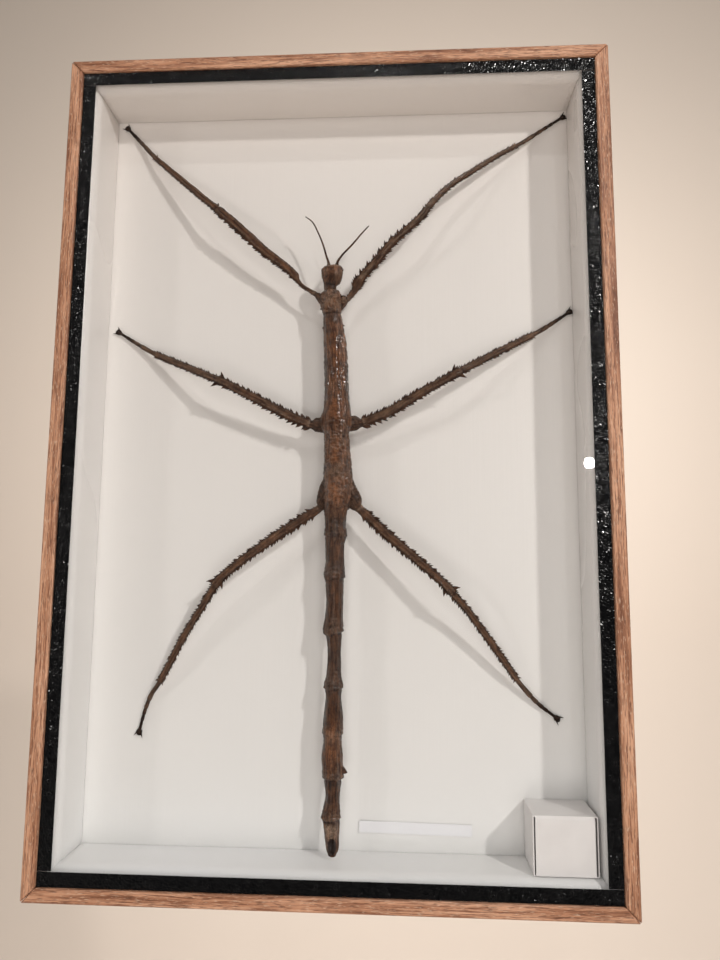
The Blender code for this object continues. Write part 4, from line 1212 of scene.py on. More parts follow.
# %% Feelers
ANTENNA_LEFT = [
    (-2.5, 85.0, 13.2, 1.0, 1.0),
    (-2.7, 87.6, 13.3, 0.9, 0.9), (-3.6, 90.4, 13.6, 0.7, 0.7), (-5.1, 95.6, 14.0, 0.6, 0.6),
    (-7.6, 101.8, 14.0, 0.5, 0.5), (-10.1, 106.6, 14.0, 0.45, 0.45), (-13.3, 109.3, 14.0, 0.3, 0.3),
]
ANTENNA_RIGHT = [
    (0.9, 85.0, 13.2, 1.0, 1.0),
    (1.3, 87.6, 13.3, 0.9, 0.9), (3.1, 90.5, 13.6, 0.7, 0.7), (8.0, 95.7, 14.0, 0.6, 0.6),
    (12.1, 100.7, 14.0, 0.5, 0.5), (15.3, 104.3, 14.0, 0.35, 0.35),
]
FEELER_SEGMENT = 1.25
FEELER_STEP = 0.11
FEELER_SIDES = 16
THREAD_SHARE = 0.66
BASE_SHARE = 0.30


def feeler(name, stations, base_shares):
    """A thread of segments, with the colour shares of its thick first joint."""
    limb = Limb(stations, FEELER_STEP, FEELER_SIDES)
    slim = THREAD_SHARE + BASE_SHARE * limb.stretch(-2.0, 2.0, 1.0)
    beat = np.abs(np.sin(math.pi * limb.places / FEELER_SEGMENT))[:, None]
    relief = (0.06 * beat - 0.04 + 0.03 * limb.grain(2.0, 2.0, 2.0)) * np.ones((1, limb.sides))
    points = limb.skin(relief, slim)
    tint = np.zeros((*relief.shape, 3))
    tint[..., 2] = 0.25 + 0.35 * (1 - beat)
    tint += limb.stretch(-2.0, 2.4, 1.0)[..., None] * np.array(base_shares)
    thread = shape(points, ring_faces(len(limb.places), limb.sides), tint, limb.lie())
    add_piece(name + "_thread", [thread], leg_shell, [name])


feeler("antenna_left", ANTENNA_LEFT, (0.45, 0.1, 0.0))
feeler("antenna_right", ANTENNA_RIGHT, (0.0, 0.0, 0.8))

# %% [markdown]
# ## Legs
# A leg runs from a short hip over a long keeled thigh to a spiny knee, then along a thinner shin to
# a five-jointed foot with two claws. The thigh and shin are six-sided with rounded corners, and
# their keels carry rows of thorns that lean towards the foot. The rows match the solids' rows, with
# small teeth between the large ones.

# %% Leg stations, from hip to claws: x, z, height, half width, half depth
# The first two lie inside the body, so that the hip grows out of it. They count as -2 and -1
HIP_STATIONS = 2
FRONT_LEG_LEFT = [
    (-3.4, 67.6, 11.8, 1.8, 2.2), (-5.4, 70.6, 11.6, 1.7, 2.0),
    (-7.7, 73.2, 11.2, 1.35, 1.4), (-11.3, 75.8, 10.6, 0.85, 1.0), (-14.4, 77.8, 10.6, 0.85, 1.0),
    (-16.9, 80.6, 10.8, 1.1, 1.1), (-18.2, 82.8, 11.2, 2.0, 1.4), (-31.6, 93.7, 13.0, 2.4, 1.5),
    (-41.8, 103.0, 14.0, 2.5, 1.4), (-50.8, 110.9, 15.0, 2.3, 1.6), (-54.4, 114.0, 14.6, 2.0, 1.6),
    (-57.0, 116.4, 13.8, 1.7, 1.3), (-70.9, 129.6, 9.8, 1.6, 1.2), (-85.8, 144.0, 5.2, 1.2, 0.9),
    (-88.3, 146.6, 4.2, 1.1, 0.8), (-93.7, 152.9, 2.4, 0.9, 0.7), (-98.8, 158.7, 1.4, 0.8, 0.6),
    (-103.0, 163.4, 0.9, 0.5, 0.5),
]
FRONT_LEG_RIGHT = [
    (0.8, 64.8, 11.6, 0.9, 1.6), (2.9, 67.2, 11.5, 1.0, 1.5),
    (4.9, 69.9, 11.2, 1.1, 1.4), (7.3, 73.2, 10.7, 1.2, 1.2), (9.0, 75.6, 10.6, 1.5, 1.2),
    (10.2, 78.0, 10.8, 1.8, 1.3), (11.6, 80.4, 11.4, 2.0, 1.5), (19.0, 88.4, 13.0, 2.1, 1.6),
    (25.2, 95.7, 14.0, 2.0, 1.6), (32.0, 101.6, 14.8, 1.8, 1.6), (39.4, 108.5, 15.0, 1.8, 1.6),
    (42.0, 112.4, 14.6, 1.7, 1.4), (44.9, 116.0, 14.0, 1.5, 1.3), (52.1, 123.9, 12.0, 1.4, 1.2),
    (62.6, 132.4, 9.0, 1.3, 1.1), (78.5, 143.9, 5.5, 1.1, 0.9), (86.0, 148.9, 3.5, 0.9, 0.7),
    (94.8, 155.5, 1.6, 0.8, 0.6), (105.9, 163.0, 0.9, 0.5, 0.5),
]
MIDDLE_LEG_LEFT = [
    (-1.4, 13.9, 11.2, 3.6, 2.8), (-4.6, 14.0, 10.9, 3.2, 2.6),
    (-7.4, 14.2, 10.6, 3.0, 2.3), (-9.4, 14.4, 10.4, 1.9, 1.7), (-11.4, 14.9, 10.8, 2.2, 1.8),
    (-18.9, 17.9, 12.0, 2.4, 1.9), (-33.2, 25.0, 14.0, 2.2, 1.8), (-46.6, 31.6, 15.8, 2.0, 1.9),
    (-49.6, 33.0, 16.0, 2.2, 2.0), (-53.6, 34.8, 14.8, 1.8, 1.5), (-68.0, 41.7, 9.6, 1.7, 1.3),
    (-81.4, 48.1, 4.6, 1.5, 1.2), (-83.8, 49.3, 3.8, 1.1, 0.9), (-93.0, 54.8, 1.8, 0.9, 0.7),
    (-102.5, 60.9, 0.9, 0.5, 0.5),
]
MIDDLE_LEG_RIGHT = [
    (4.4, 14.4, 11.2, 3.6, 2.8), (7.4, 14.6, 10.9, 3.3, 2.6),
    (10.2, 14.9, 10.6, 3.1, 2.3), (12.2, 15.0, 10.4, 1.9, 1.7), (14.2, 15.6, 10.8, 2.2, 1.8),
    (22.6, 18.6, 12.0, 2.4, 1.9), (37.2, 26.7, 14.0, 2.2, 1.8), (50.8, 34.0, 15.8, 2.0, 1.9),
    (53.8, 35.6, 16.0, 2.2, 2.0), (57.6, 37.9, 14.8, 1.8, 1.5), (73.0, 47.0, 9.6, 1.7, 1.3),
    (87.2, 55.3, 4.6, 1.5, 1.2), (89.5, 56.6, 3.8, 1.1, 0.9), (98.4, 62.5, 1.8, 0.9, 0.7),
    (106.3, 68.0, 0.9, 0.5, 0.5),
]
HIND_LEG_LEFT = [
    (-1.0, -10.4, 11.8, 2.6, 2.6), (-2.0, -13.6, 11.5, 3.2, 2.9),
    (-2.8, -16.8, 11.3, 3.4, 2.9), (-3.8, -19.8, 11.0, 3.1, 2.6), (-4.8, -21.8, 10.6, 2.2, 2.1),
    (-6.6, -23.4, 10.4, 1.6, 1.5), (-9.4, -25.2, 10.8, 2.1, 1.8),
    (-18.3, -31.1, 11.8, 2.3, 1.9), (-30.3, -39.5, 13.6, 2.1, 1.8), (-45.2, -51.4, 15.0, 2.0, 1.9),
    (-48.0, -54.2, 15.0, 2.2, 2.0), (-50.2, -57.4, 14.2, 1.8, 1.5), (-56.0, -66.5, 12.0, 1.6, 1.4),
    (-62.4, -75.9, 9.2, 1.6, 1.3), (-73.8, -96.0, 4.6, 1.5, 1.2), (-75.4, -98.6, 3.9, 1.1, 0.9),
    (-79.1, -104.0, 2.6, 0.9, 0.8), (-81.8, -110.8, 1.6, 0.8, 0.6), (-84.3, -120.1, 0.9, 0.5, 0.5),
]
HIND_LEG_RIGHT = [
    (5.4, -8.6, 11.8, 2.6, 2.6), (6.2, -12.0, 11.5, 3.3, 2.9),
    (7.4, -15.6, 11.3, 3.7, 3.0), (9.2, -19.0, 11.0, 3.6, 2.8), (10.8, -21.6, 10.6, 2.6, 2.3),
    (12.6, -23.4, 10.4, 1.7, 1.5), (15.0, -25.6, 10.8, 2.1, 1.8),
    (23.3, -33.4, 11.8, 2.3, 1.9), (35.6, -43.8, 13.6, 2.1, 1.8), (47.0, -53.7, 15.0, 2.0, 1.9),
    (49.6, -56.4, 15.0, 2.2, 2.0), (52.4, -59.6, 14.2, 1.8, 1.5), (58.0, -66.0, 12.0, 1.6, 1.4),
    (65.7, -76.3, 9.2, 1.6, 1.3), (77.6, -92.9, 4.6, 1.5, 1.2), (79.2, -95.2, 3.9, 1.1, 0.9),
    (87.8, -104.6, 1.7, 0.9, 0.6), (96.1, -111.0, 0.9, 0.5, 0.5),
]

# %% [markdown]
# Thorns stand in rows along a keel and change in height as they go. Their places are given in
# stations, so a row stays on its thigh when a station is moved. A claw is a long thorn that starts
# sideways and bends ahead.

# %% Thorns along a keel
CLAW_RADIUS = 0.62


def thorn_row(first, last, count, side, first_height, last_height):
    """Thorns evenly spaced from one station to a later one: station place, side and height."""
    return [(first + (last - first) * share, side, first_height + (last_height - first_height) * share)
            for share in np.linspace(0.0, 1.0, count)]


def mark_at(limb, station):
    """How far along a leg a station lies, with in-between stations allowed."""
    return float(np.interp(station, np.arange(len(limb.marks)) - HIP_STATIONS, limb.marks))


def claw(tip, ahead, sideways, length):
    """A curved claw that starts sideways and bends ahead and down to the panel."""
    return thorn(tip, sideways * 1.1 + ahead * 0.40, ahead + np.array([0.0, 0.12, 0.0]),
                 length, CLAW_RADIUS, slant=0.7, sides=8, levels=8, tint=(0, 0, 1.0))


# %% [markdown]
# A leg's relief follows its parts. Six rough keels run along thigh and shin, with a hollow on the
# face towards the viewer. The knee is a wrinkled boss with a groove behind it, the foot ripples in
# five joints, and the hip is knotted. The marks are the distances of knee, foot, thigh and hip.

# %% Leg relief
LEG_KEELS = (0, 60, 120, 180, 240, 300)
KEEL_HEIGHT = 0.16
KEEL_ROUGHNESS = 0.22
FACE_HOLLOW = 0.16
KNEE_BOSS = 0.35
JOINT_GROOVE = 0.24
HIP_KNOTS = 0.8
FOOT_JOINTS = (0.0, 0.40, 0.55, 0.67, 0.78, 1.0)
FOOT_SWELLING = 0.26
FOOT_GROOVE = 0.20


def foot_joints(limb, first):
    """Ripple of the five foot joints: each widens towards its end, with a groove between."""
    share = (limb.places - first) / (limb.length - first)
    ripple = np.zeros(len(share))
    for start, end in zip(FOOT_JOINTS, FOOT_JOINTS[1:]):
        inside = (share >= start) & (share < end)
        ripple[inside] = ((share[inside] - start) / (end - start)) ** 2
    ripple = FOOT_SWELLING * ripple - 0.08
    for joint in FOOT_JOINTS[:-1]:
        place = first + joint * (limb.length - first)
        ripple -= FOOT_GROOVE * np.exp(-((limb.places - place) / 0.35) ** 2)
    return np.where(share > 0, ripple, 0.0)[:, None]


def leg_relief(limb, marks, seed):
    """Heights over a plain leg, in millimetres."""
    knee_at, foot_at, thigh_at, hip_at = marks
    long_part = limb.stretch(thigh_at, foot_at, 1.5)
    relief = 0.08 * limb.grain(1.6, 3.0, seed) + 0.12 * limb.grain(0.16, 5.0, seed + 3)
    for angle in LEG_KEELS:
        rough_keel = KEEL_HEIGHT + KEEL_ROUGHNESS * limb.grain(1.3, 0.8, seed + angle)
        relief = relief + long_part * rough_keel * limb.near(angle, 10.0)
    relief = relief - FACE_HOLLOW * long_part * limb.near(90, 14.0)
    relief = relief + foot_joints(limb, foot_at)
    relief = relief + KNEE_BOSS * limb.band(knee_at, 1.6) * np.abs(limb.grain(1.2, 2.6, 2.0)) * 2
    relief = relief - JOINT_GROOVE * limb.band(knee_at + 2.3, 0.6)
    relief = relief - JOINT_GROOVE * limb.band(hip_at + 0.8, 0.5)
    hip_part = limb.stretch(-9.0, hip_at, 1.0)
    return relief + hip_part * HIP_KNOTS * (0.3 - np.abs(limb.grain(0.7, 2.2, seed + 6)))


# %% [markdown]
# The colours follow the same parts: a mottled tone along the face towards the viewer, painted
# shade along both edges, a dark knee and foot, and pale rings where the hip ends and the foot
# begins. The relief adds a painted highlight on the keels and painted shade in the hollows.

# %% Leg colours


def leg_tint(limb, marks, relief, shares, seed):
    """The pale, warm and dark shares of a leg's points."""
    knee_at, foot_at, thigh_at, hip_at = marks
    foot_length = limb.length - foot_at
    long_part = limb.stretch(thigh_at, foot_at, 1.5)
    # Painted highlight on the keels and painted shade in the hollows of the leg
    tint = relief_highlight_and_shade(relief, 0.50, 0.7)
    mottle = np.clip(0.5 + 1.3 * limb.grain(0.16, 1.4, seed + 9), 0, 1)
    tint += (limb.near(90, 30.0) * long_part * mottle)[..., None] * np.array(shares)
    # Painted shade along both edges of the leg
    tint[..., 2] += 0.55 * long_part * (limb.near(0, 26.0) + limb.near(180, 26.0))
    tint[..., 2] += 0.45 * limb.band(knee_at, 2.4)
    tint[..., 2] += 0.35 * limb.stretch(foot_at + 1.5, limb.length + 9, 2.0)
    tint[..., 2] += 0.55 * limb.stretch(foot_at + 0.6 * foot_length, limb.length + 9, 2.0)
    tint[..., 0] += 0.35 * limb.stretch(foot_at - 0.5, foot_at + 0.6 * foot_length, 1.0)
    tint[..., 2] += 0.45 * limb.stretch(-9.0, hip_at, 1.0)
    tint[..., 0] += 0.55 * limb.band(hip_at + 1.6, 0.8)
    return tint


# %% [markdown]
# Between the large thorns stand small teeth, and two rows of fine points run along the face towards
# the viewer. Their sizes and places come from a seeded random draw, so they are the same each time.

# %% Thorns, teeth and claws
THORN_RADIUS = 0.50
RADIUS_PER_HEIGHT = 0.26
HEIGHT_SHARE = 0.85
TOOTH_STEP = 1.25
CLAW_LENGTH = 2.9


def leg_thorns(limb, marks, thorns, teeth, seed):
    """Large thorns as (station, side, height), then small teeth on the sides named in teeth."""
    _, foot_at, _, hip_at = marks
    grown = []
    for station, side, height in thorns:
        grown.append(side_thorn(limb, mark_at(limb, station), side, height * HEIGHT_SHARE,
                                THORN_RADIUS + RADIUS_PER_HEIGHT * height, 0.7, lift=8.0,
                                tint=(0.0, 0.0, 0.45)))
    dice = np.random.default_rng(int(seed * 10) + 5)
    for place in np.arange(hip_at + 2, foot_at - 1, TOOTH_STEP):
        for side in teeth:
            height = dice.uniform(0.20, 0.75)
            grown.append(side_thorn(limb, place + dice.uniform(-0.5, 0.5), side, height, 0.5,
                                    0.8, dice.uniform(-10, 15), (0.05, 0.0, 0.5), small=True))
        for lift in (60.0, 120.0):
            grown.append(side_thorn(limb, place + dice.uniform(-0.5, 0.5), RIGHT,
                                    dice.uniform(0.0, 0.28), 0.45, 0.6, lift, (0.30, 0.0, 0.1),
                                    small=True))
    return grown


def foot_end(limb, foot_at, seed):
    """A pair of thorns where the foot begins, two claws at its tip and the pad between them."""
    tip, ahead, across = limb.middle[-1], limb.ahead[-1], limb.across[-1]
    grown = []
    for side in (RIGHT, LEFT):
        grown.append(side_thorn(limb, foot_at - 0.4, side, 0.8, 0.6, 0.8, tint=(0.2, 0.0, 0.3)))
        grown.append(claw(tip - ahead * 0.9, ahead, across * side, CLAW_LENGTH))
    pad = tip - ahead * 0.4 + Y_AXIS * 0.1
    grown.append(ball(pad, (1.6, 1.35, 0.6), (ahead, across, limb.outward[-1]), 10, 14,
                      (0, 0, 1), 0.2, seed))
    return grown


# %% [markdown]
# A whole leg is a skin with that relief and those colours, and everything that stands on it. Along
# thigh and shin the section is a little slimmer than the solid's, because the keels add to it.

# %% Growing a leg
LEG_STEP = 0.28
LEG_SIDES = 32
LEG_SLIM = 0.80
KEEL_CORNERS = 6


def leg(stations, thorns, knee, foot, shares, seed, thigh=4, hip=1, teeth=(RIGHT, LEFT)):
    """The shapes of a leg. Knee, foot, thigh and hip are stations, and shares are its pale, warm
    and dark shares along the face towards the viewer."""
    limb = Limb(stations, LEG_STEP, LEG_SIDES)
    marks = [mark_at(limb, station) for station in (knee, foot, thigh, hip)]
    _, foot_at, thigh_at, _ = marks
    relief = leg_relief(limb, marks, seed)
    long_part = limb.stretch(thigh_at, foot_at, 1.5)
    keeled = 1 - long_part * (1 - polygon(limb, KEEL_CORNERS, 0.6))
    points = limb.skin(relief, keeled * (1 - (1 - LEG_SLIM) * long_part))
    tint = leg_tint(limb, marks, relief, shares, seed)
    skin = shape(points, ring_faces(len(limb.places), limb.sides), tint, limb.lie())
    return [skin] + leg_thorns(limb, marks, thorns, teeth, seed) + foot_end(limb, foot_at, seed)


def add_leg(name, grown):
    """A leg in the place of its solid."""
    return add_piece(name + "_skin", grown, leg_shell, [name])


# %% [markdown]
# The left front thigh is a broad blade with a saw along its lower edge, and the right one is turned
# so that both edges show thorns. The right hip carries a knob with a rim of dark beads.

# %% Front legs
HIP_BEADS = 9
left_saw = thorn_row(4, 7, 11, LEFT, 1.0, 0.9) + [(8, RIGHT, 0.7)]
add_leg("front_leg_left", leg(FRONT_LEG_LEFT, left_saw, 7.4, 11.5, (0.10, 0.55, 0.0), 1.0,
                              hip=0, teeth=(LEFT,)))

right_rows = thorn_row(2.4, 8, 13, RIGHT, 1.4, 1.0) + thorn_row(2.6, 7, 12, LEFT, 1.7, 1.2)
right_rows += thorn_row(11, 14, 5, RIGHT, 0.8, 0.6)
right_front = leg(FRONT_LEG_RIGHT, right_rows, 8.4, 13.6, (0.85, 0.0, 0.0), 2.0, hip=0)
hip_knob = spot(4.1, 70.4, 12.6)
right_front.append(ball(hip_knob, (1.5, 1.6, 1.4), BALL_AXES, tint=(0.5, 0.1, 0.0), rough=0.2, seed=3.0))
for turn in np.linspace(20, 160, HIP_BEADS):
    bead = hip_knob + np.array([1.5 * math.cos(math.radians(turn)), -0.7,
                                1.5 * math.sin(math.radians(turn))])
    right_front.append(ball(bead, (0.4, 0.4, 0.4), BALL_AXES, 8, 10, (0.0, 0.0, 0.9)))
add_leg("front_leg_right", right_front)

# %% [markdown]
# Middle and hind legs are built as pairs with their thorns on mirrored edges, because right and
# left swap where the limb runs the other way. Two long thorns stand at the middle knee.

# %% Middle legs
MIDDLE_LEGS = (("middle_leg_left", MIDDLE_LEG_LEFT, LEFT, RIGHT, 3.0),
               ("middle_leg_right", MIDDLE_LEG_RIGHT, RIGHT, LEFT, 4.0))
for name, stations, low_edge, high_edge, seed in MIDDLE_LEGS:
    rows = thorn_row(1.5, 4, 10, low_edge, 1.9, 1.1) + thorn_row(1.7, 5, 11, high_edge, 1.2, 0.8)
    rows += [(5, low_edge, 1.3), (6.2, low_edge, 2.2), (5.9, high_edge, 2.0)]
    rows += thorn_row(7, 9, 6, low_edge, 0.8, 0.5) + thorn_row(7.4, 10, 6, high_edge, 0.8, 0.5)
    add_leg(name, leg(stations, rows, 6.0, 9.6, (0.42, 0.2, 0.0), seed, thigh=2))

# %% [markdown]
# The hind legs bend at a knee that points away from the body, and their hips are long and knotted.
# Their thorns are a little shorter and stand on both edges of the thigh alike.

# %% Hind legs
HIND_LEGS = (("hind_leg_left", HIND_LEG_LEFT, LEFT, RIGHT, 5.0),
             ("hind_leg_right", HIND_LEG_RIGHT, RIGHT, LEFT, 6.0))
for name, stations, low_edge, high_edge, seed in HIND_LEGS:
    rows = thorn_row(4, 7, 10, low_edge, 1.3, 0.8) + thorn_row(4, 6.6, 8, high_edge, 1.3, 0.8)
    rows += [(7.9, low_edge, 1.9), (8.3, high_edge, 2.3)]
    rows += thorn_row(9, 12, 8, low_edge, 0.9, 0.5) + thorn_row(9.4, 12, 7, high_edge, 0.9, 0.5)
    add_leg(name, leg(stations, rows, 8.2, 12.7, (0.30, 0.45, 0.0), seed, hip=2))

# %% [markdown]
# ## Paper slip
# A narrow strip of copy paper is stuck under the insect's tail, bare here. Paper that thin is a
# single bent sheet: its ends lift off the panel by a hair, which gives it an edge and a shadow.

# %% Paper slip
LABEL_CENTRE = (35.8, -156.8)
LABEL_SIZE = (47.3, 4.7)
LABEL_TILT = math.radians(-0.8)
PAPER_THICKNESS = 0.11
SLIP_GAP = 0.18
END_LIFT = 0.45
PAPER_WHITE = (0.92, 0.92, 0.94)
PAPER_SHADE = (0.86, 0.86, 0.885)
SLIP_COLUMNS = 96
SLIP_ROWS = 12


def paper_finish():
    """Bare copy paper with a trace of its fibre."""
    made, tree, shader = finish("bare_paper", 0.85)
    fibre = stretched_noise(tree, (1700, 1700, 1700), 4.0, 0.7)
    wire(tree, shader, Base_Color=ramp(tree, fibre, [(0.3, PAPER_SHADE), (0.7, PAPER_WHITE)]),
         Normal=bumped(tree, fibre, 0.00002))
    return made


def slip_shapes():
    """A thin sheet whose ends and upper edge stand off the panel a little more than its middle."""
    u, v = np.meshgrid(np.linspace(-0.5, 0.5, SLIP_COLUMNS), np.linspace(-0.5, 0.5, SLIP_ROWS),
                       indexing="ij")
    u, v = u.ravel(), v.ravel()
    lift = SLIP_GAP + END_LIFT * np.abs(2 * u) ** 6
    lift = lift + 0.10 * np.sin(7 * u + 1.0) ** 2 + 0.08 * (v + 0.5)
    x = u * LABEL_SIZE[0]
    z = v * LABEL_SIZE[1]
    turned_x = LABEL_CENTRE[0] + x * math.cos(LABEL_TILT) - z * math.sin(LABEL_TILT)
    turned_z = LABEL_CENTRE[1] + x * math.sin(LABEL_TILT) + z * math.cos(LABEL_TILT)
    layers = [np.stack([turned_x, PANEL_Y - lift - extra, turned_z], axis=-1)
              for extra in (PAPER_THICKNESS, 0.0)]
    return [shape(np.concatenate(layers), sheet_faces(SLIP_COLUMNS, SLIP_ROWS))]


add_piece("paper_slip", slip_shapes(), paper_finish(), ["paper_label"], sharp=40)

# %% [markdown]
# ## Card box
# A small box folded from white card stands in the corner. It is a sleeve with rounded folds, closed
# at the front by a lid that hinges on the top edge. The lid is a little narrower than the sleeve, so
# dark slits show at its sides and foot, and the dust flaps behind it keep the light out.

# %% Card box
CARD = 0.45
FOLD_RADIUS = 0.5
LID_SLIT = 0.50
LID_BULGE = 0.22
LID_FOOT_GAP = 0.30
SLEEVE_SETBACK = 0.12
EDGE_CLEAR = 0.02
FLAP_SETBACK = 1.6
FLAP_SIDE_GAP = 1.6
FLAP_MIDDLE_GAP = 2.0
DENT_DEPTH = 0.05
CARD_WHITE = (0.845, 0.82, 0.81)
CARD_SMUDGE = (0.80, 0.775, 0.765)


def card_finish():
    """White card, a little smudged by handling."""
    made, tree, shader = finish("white_card", 0.62, Specular_IOR_Level=0.35)
    fibre = stretched_noise(tree, (1500, 1500, 1500), 4.0, 0.7)
    smudge = stretched_noise(tree, (90, 90, 90), 3.0, 0.6)
    tone = ramp(tree, smudge, [(0.35, CARD_SMUDGE), (0.6, CARD_WHITE)])
    wire(tree, shader, Base_Color=tone, Normal=bumped(tree, fibre, 0.00003))
    return made


def rounded_outline(low_x, high_x, low_z, high_z, radius, steps=5):
    """Corners of a rounded rectangle, counter-clockwise."""
    corners = ((high_x - radius, high_z - radius, 0), (low_x + radius, high_z - radius, 90),
               (low_x + radius, low_z + radius, 180), (high_x - radius, low_z + radius, 270))
    outline = []
    for x, z, start in corners:
        for share in np.linspace(0, 1, steps):
            turn = math.radians(start + 90 * share)
            outline.append((x + radius * math.cos(turn), z + radius * math.sin(turn)))
    return outline


def sleeve_shape(low, high):
    """Four walls of card, open at the front and at the back."""
    outer = rounded_outline(low[0], high[0], low[2], high[2], FOLD_RADIUS)
    inner = rounded_outline(low[0] + CARD, high[0] - CARD, low[2] + CARD, high[2] - CARD,
                            FOLD_RADIUS * 0.5)
    front, back = low[1] + CARD + SLEEVE_SETBACK, high[1]
    depths = np.linspace(front, back, 12)
    rings = [[(x, y, z) for x, z in outer] for y in depths]
    rings += [[(x, y, z) for x, z in inner] for y in depths[::-1]]
    rings.append(rings[0])
    count = len(outer)
    return shape(np.array(rings).reshape(-1, 3), ring_faces(len(rings), count, capped=False))


def sheet_shape(low, high, columns=26, rows=26, bulge=0.0, seed=0.0, round_top=0.0):
    """A sheet of card that faces the viewer, with a soft bulge."""
    x, z = grid_places(low, high, columns, rows)
    u = (x - low[0]) / (high[0] - low[0]) * 2 - 1
    v = (z - low[2]) / (high[2] - low[2]) * 2 - 1
    swell = bulge * (1 - u ** 2) * (1 - v ** 2)
    flat = np.stack([x.ravel(), np.zeros(x.size), z.ravel()], axis=-1)
    dent = DENT_DEPTH * wavy(flat, 0.12, seed).reshape(x.shape)
    from_top = high[2] - z
    arc = np.sqrt(np.clip(round_top ** 2 - (round_top - from_top) ** 2, 0, None))
    turn = np.where(from_top < round_top, round_top - arc, 0.0)
    front = np.stack([x, low[1] - swell + dent + turn, z], axis=-1).reshape(-1, 3)
    back = front + np.array([0.0, high[1] - low[1], 0.0])
    return shape(np.concatenate([front, back]), sheet_faces(columns, rows))


# %% [markdown]
# The box is put together from its sleeve, lid, back and two dust flaps, each worked out from the
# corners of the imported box.

# %% Putting the box together


def card_box_shapes():
    """Sleeve, lid, back and flaps in the place of the box's solid."""
    low, high = (in_case(corner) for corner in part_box("card_box"))
    lid_left, lid_right = low[0] + CARD + LID_SLIT, high[0] - CARD - 1.5 * LID_SLIT
    lid = sheet_shape((lid_left, low[1] + LID_BULGE, low[2] + LID_FOOT_GAP),
                      (lid_right, low[1] + LID_BULGE + CARD, high[2] - EDGE_CLEAR),
                      bulge=LID_BULGE, seed=2.0, round_top=FOLD_RADIUS)
    back = sheet_shape((low[0] + CARD, high[1] - CARD, low[2] + CARD),
                       (high[0] - CARD, high[1] - EDGE_CLEAR, high[2] - CARD), 6, 6)
    middle_x = (low[0] + high[0]) / 2
    flap_front = low[1] + FLAP_SETBACK
    flaps = [sheet_shape((low[0] + CARD + FLAP_SIDE_GAP, flap_front, low[2] + CARD),
                         (middle_x - FLAP_MIDDLE_GAP, flap_front + CARD, high[2] - CARD), 8, 8),
             sheet_shape((middle_x + FLAP_MIDDLE_GAP, flap_front, low[2] + CARD),
                         (high[0] - CARD - FLAP_SIDE_GAP, flap_front + CARD, high[2] - CARD), 8, 8)]
    return [sleeve_shape(low, high), lid, back, *flaps]


add_piece("folded_card_box", card_box_shapes(), card_finish(), ["card_box"], sharp=35)

# %% [markdown]
# ## Floor and backdrop
# The floor lies well below the case and sweeps up into a backdrop far behind it, both pale and
# plain. They are wide enough for a camera to go all the way round. Reflections and the rays that
# pass the glass don't see them, so that the pane shows no horizon.

# %% Floor and backdrop
FLOOR_DROP = 0.45
BACKDROP_Y = 1.05
SWEEP_HALF_WIDTH = 7.0
SWEEP_RADIUS = 0.5
SWEEP_TOP = 2.6
SWEEP_FRONT = -6.0
SWEEP_STEPS = 17
BACKDROP_LIGHT = (0.71, 0.625, 0.545)
BACKDROP_SHADE = (0.69, 0.600, 0.520)
floor_z = solid_low.z - FLOOR_DROP


def sweep_profile():
    """Y and Z along the floor, round the cove and up the backdrop."""
    points = [(SWEEP_FRONT, floor_z)]
    for share in np.linspace(0.0, 1.0, SWEEP_STEPS):
        angle = math.pi / 2 * share
        points.append((BACKDROP_Y - SWEEP_RADIUS + SWEEP_RADIUS * math.sin(angle),
                       floor_z + SWEEP_RADIUS - SWEEP_RADIUS * math.cos(angle)))
    points.append((BACKDROP_Y, floor_z + SWEEP_TOP))
    return points


def backdrop_finish():
    """A matt warm surface with a very faint cloud in its tone."""
    made, tree, shader = finish("warm_backdrop", 0.9)
    cloud = stretched_noise(tree, (1.2, 1.2, 1.2), 2.0, 0.5)
    wire(tree, shader, Base_Color=ramp(tree, cloud, [(0.3, BACKDROP_SHADE), (0.7, BACKDROP_LIGHT)]))
    return made


profile = sweep_profile()
sweep_mesh = bpy.data.meshes.new("sweep")
sweep_corners = [(side * SWEEP_HALF_WIDTH, y, z) for y, z in profile for side in (-1, 1)]
sweep_faces = [(2 * n, 2 * n + 1, 2 * n + 3, 2 * n + 2) for n in range(len(profile) - 1)]
sweep_mesh.from_pydata(sweep_corners, [], sweep_faces)
sweep_mesh.shade_smooth()
sweep_mesh.materials.append(backdrop_finish())
sweep = bpy.data.objects.new("floor_and_backdrop", sweep_mesh)
sweep.visible_glossy = sweep.visible_transmission = False
bpy.context.scene.collection.objects.link(sweep)
print("floor", round(FLOOR_DROP, 2), "m under the case, backdrop", BACKDROP_Y, "m behind it")

# %% [markdown]
# ## Lamps
# A small warm key lamp stands high on the viewer's right and throws the main shadows to the lower
# left. A lamp above the case puts the shadow of its top edge on the panel, one near the camera shows
# as a small bright spot in the glass, and a weak one stands on the left. Two broad fills and a wash
# behind the case soften the rest.

# %% Lamps
# Name, direction from the case, distance, width, watts, colour
LAMPS = [
    ("key_lamp", (0.82, -1.0, 0.62), 1.5, 0.08, 8.4, (1.0, 0.965, 0.925)),
    ("high_lamp", (-0.05, -1.0, 1.05), 1.5, 0.045, 1.7, (1.0, 0.97, 0.935)),
    ("near_lamp", (0.404, -1.167, 0.168), 1.246, 0.022, 0.55, (1.0, 0.975, 0.95)),
    ("left_lamp", (-1.35, -1.0, 0.30), 1.5, 0.12, 1.8, (1.0, 0.96, 0.92)),
]
# Two broad fills that only light, and don't mirror in the glass
FILLS = [
    ("front_fill", (0.15, -1.0, -0.15), 1.3, 0.9, 3.4, (1.0, 0.965, 0.94)),
    ("low_fill", (0.0, -1.0, -0.55), 1.0, 0.5, 1.6, (1.0, 0.95, 0.91)),
]
WASH_PLACE = (0.06, 0.12, 0.10)
WASH_AIM = (0.06, 1.05, 0.10)
WASH_WIDTH = 0.9
WASH_POWER = 11.0
WASH_COLOUR = (1.0, 0.96, 0.925)


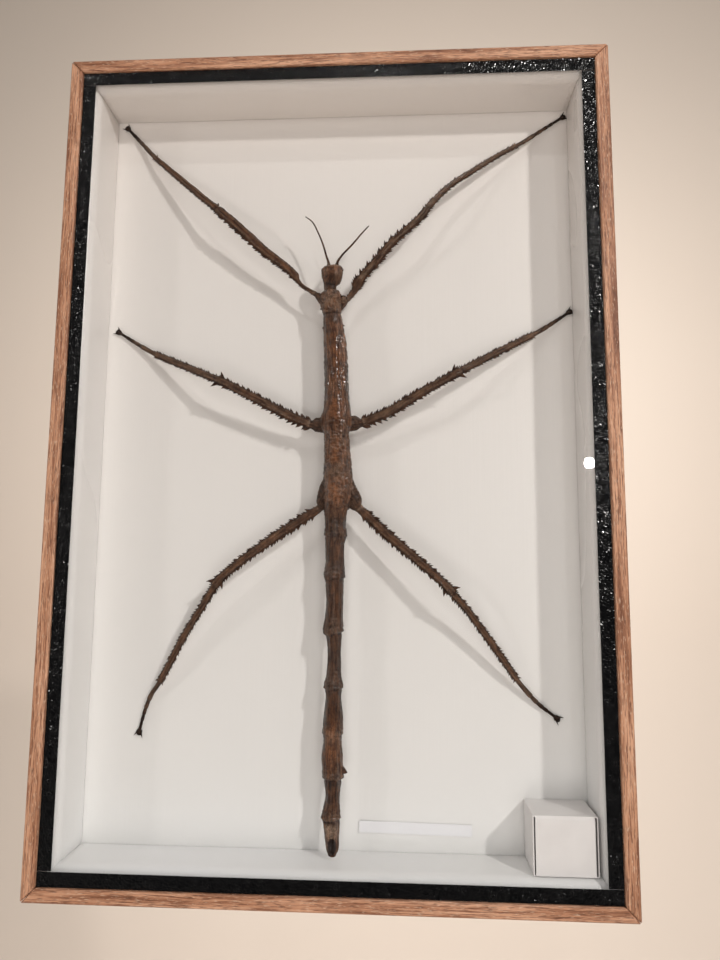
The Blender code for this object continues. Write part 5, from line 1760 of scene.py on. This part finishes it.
def add_lamp(name, place, aim, width, power, colour):
    """A round area lamp at a place, turned so that it faces what it lights."""
    lamp_data = bpy.data.lights.new(name, "AREA")
    lamp_data.shape = "DISK"
    lamp_data.size = width
    lamp_data.energy = power
    lamp_data.color = colour
    lamp = bpy.data.objects.new(name, lamp_data)
    lamp.location = place
    lamp.rotation_euler = (place - aim).to_track_quat("Z", "Y").to_euler()
    lamp.visible_camera = False
    bpy.context.scene.collection.objects.link(lamp)
    return lamp


fill_names = [fill[0] for fill in FILLS]
for name, direction, distance, width, power, colour in LAMPS + FILLS:
    place = case_middle + Vector(direction).normalized() * distance
    lamp = add_lamp(name, place, case_middle, width, power, colour)
    lamp.visible_glossy = lamp.visible_transmission = name not in fill_names
add_lamp("backdrop_wash", Vector(WASH_PLACE), Vector(WASH_AIM), WASH_WIDTH, WASH_POWER, WASH_COLOUR)
print(len(LAMPS + FILLS) + 1, "lamps")

# %% [markdown]
# Soft light from the whole room fills the shadows. More of it comes from below than from above,
# because the real room's pale floor sends the ceiling light back up. Behind the camera the room is
# nearly dark, so that the glass doesn't show a grey veil, while a camera that looks that way still
# sees a plain pale surround.

# %% Room light
LIGHT_ABOVE = 0.36
LIGHT_LEVEL = 0.54
LIGHT_BELOW = 0.54
DARK_ROOM_SIDE = 0.03
SURROUND = (0.66, 0.60, 0.54)

world = bpy.data.worlds.new("soft_room_light")
world.use_nodes = True
room = world.node_tree
background = room.nodes["Background"]
direction = node(room, "SeparateXYZ", {0: node(room, "TexCoord").outputs["Generated"]})
turned = node(room, "MapRange", {"Value": direction.outputs["Z"], "From Min": -1.0, "From Max": 1.0})
glow = ramp(room, turned.outputs["Result"], [
    (0.05, tuple(LIGHT_BELOW * part for part in (1.0, 0.96, 0.91))),
    (0.50, tuple(LIGHT_LEVEL * part for part in (1.0, 0.97, 0.93))),
    (0.95, tuple(LIGHT_ABOVE * part for part in (1.0, 0.97, 0.94)))])
backwards = node(room, "MapRange", {"Value": direction.outputs["Y"], "From Min": -0.82, "From Max": -0.35,
                                    "To Min": DARK_ROOM_SIDE, "To Max": 1.0})
room_light = mixed(room, backwards.outputs["Result"], (0.0, 0.0, 0.0), glow)
seen = node(room, "LightPath").outputs["Is Camera Ray"]
room.links.new(mixed(room, seen, room_light, SURROUND), background.inputs["Color"])
bpy.context.scene.world = world
bpy.context.scene.view_settings.view_transform = "Standard"
print("room light", LIGHT_ABOVE, "from above,", LIGHT_LEVEL, "level and", LIGHT_BELOW, "from below")
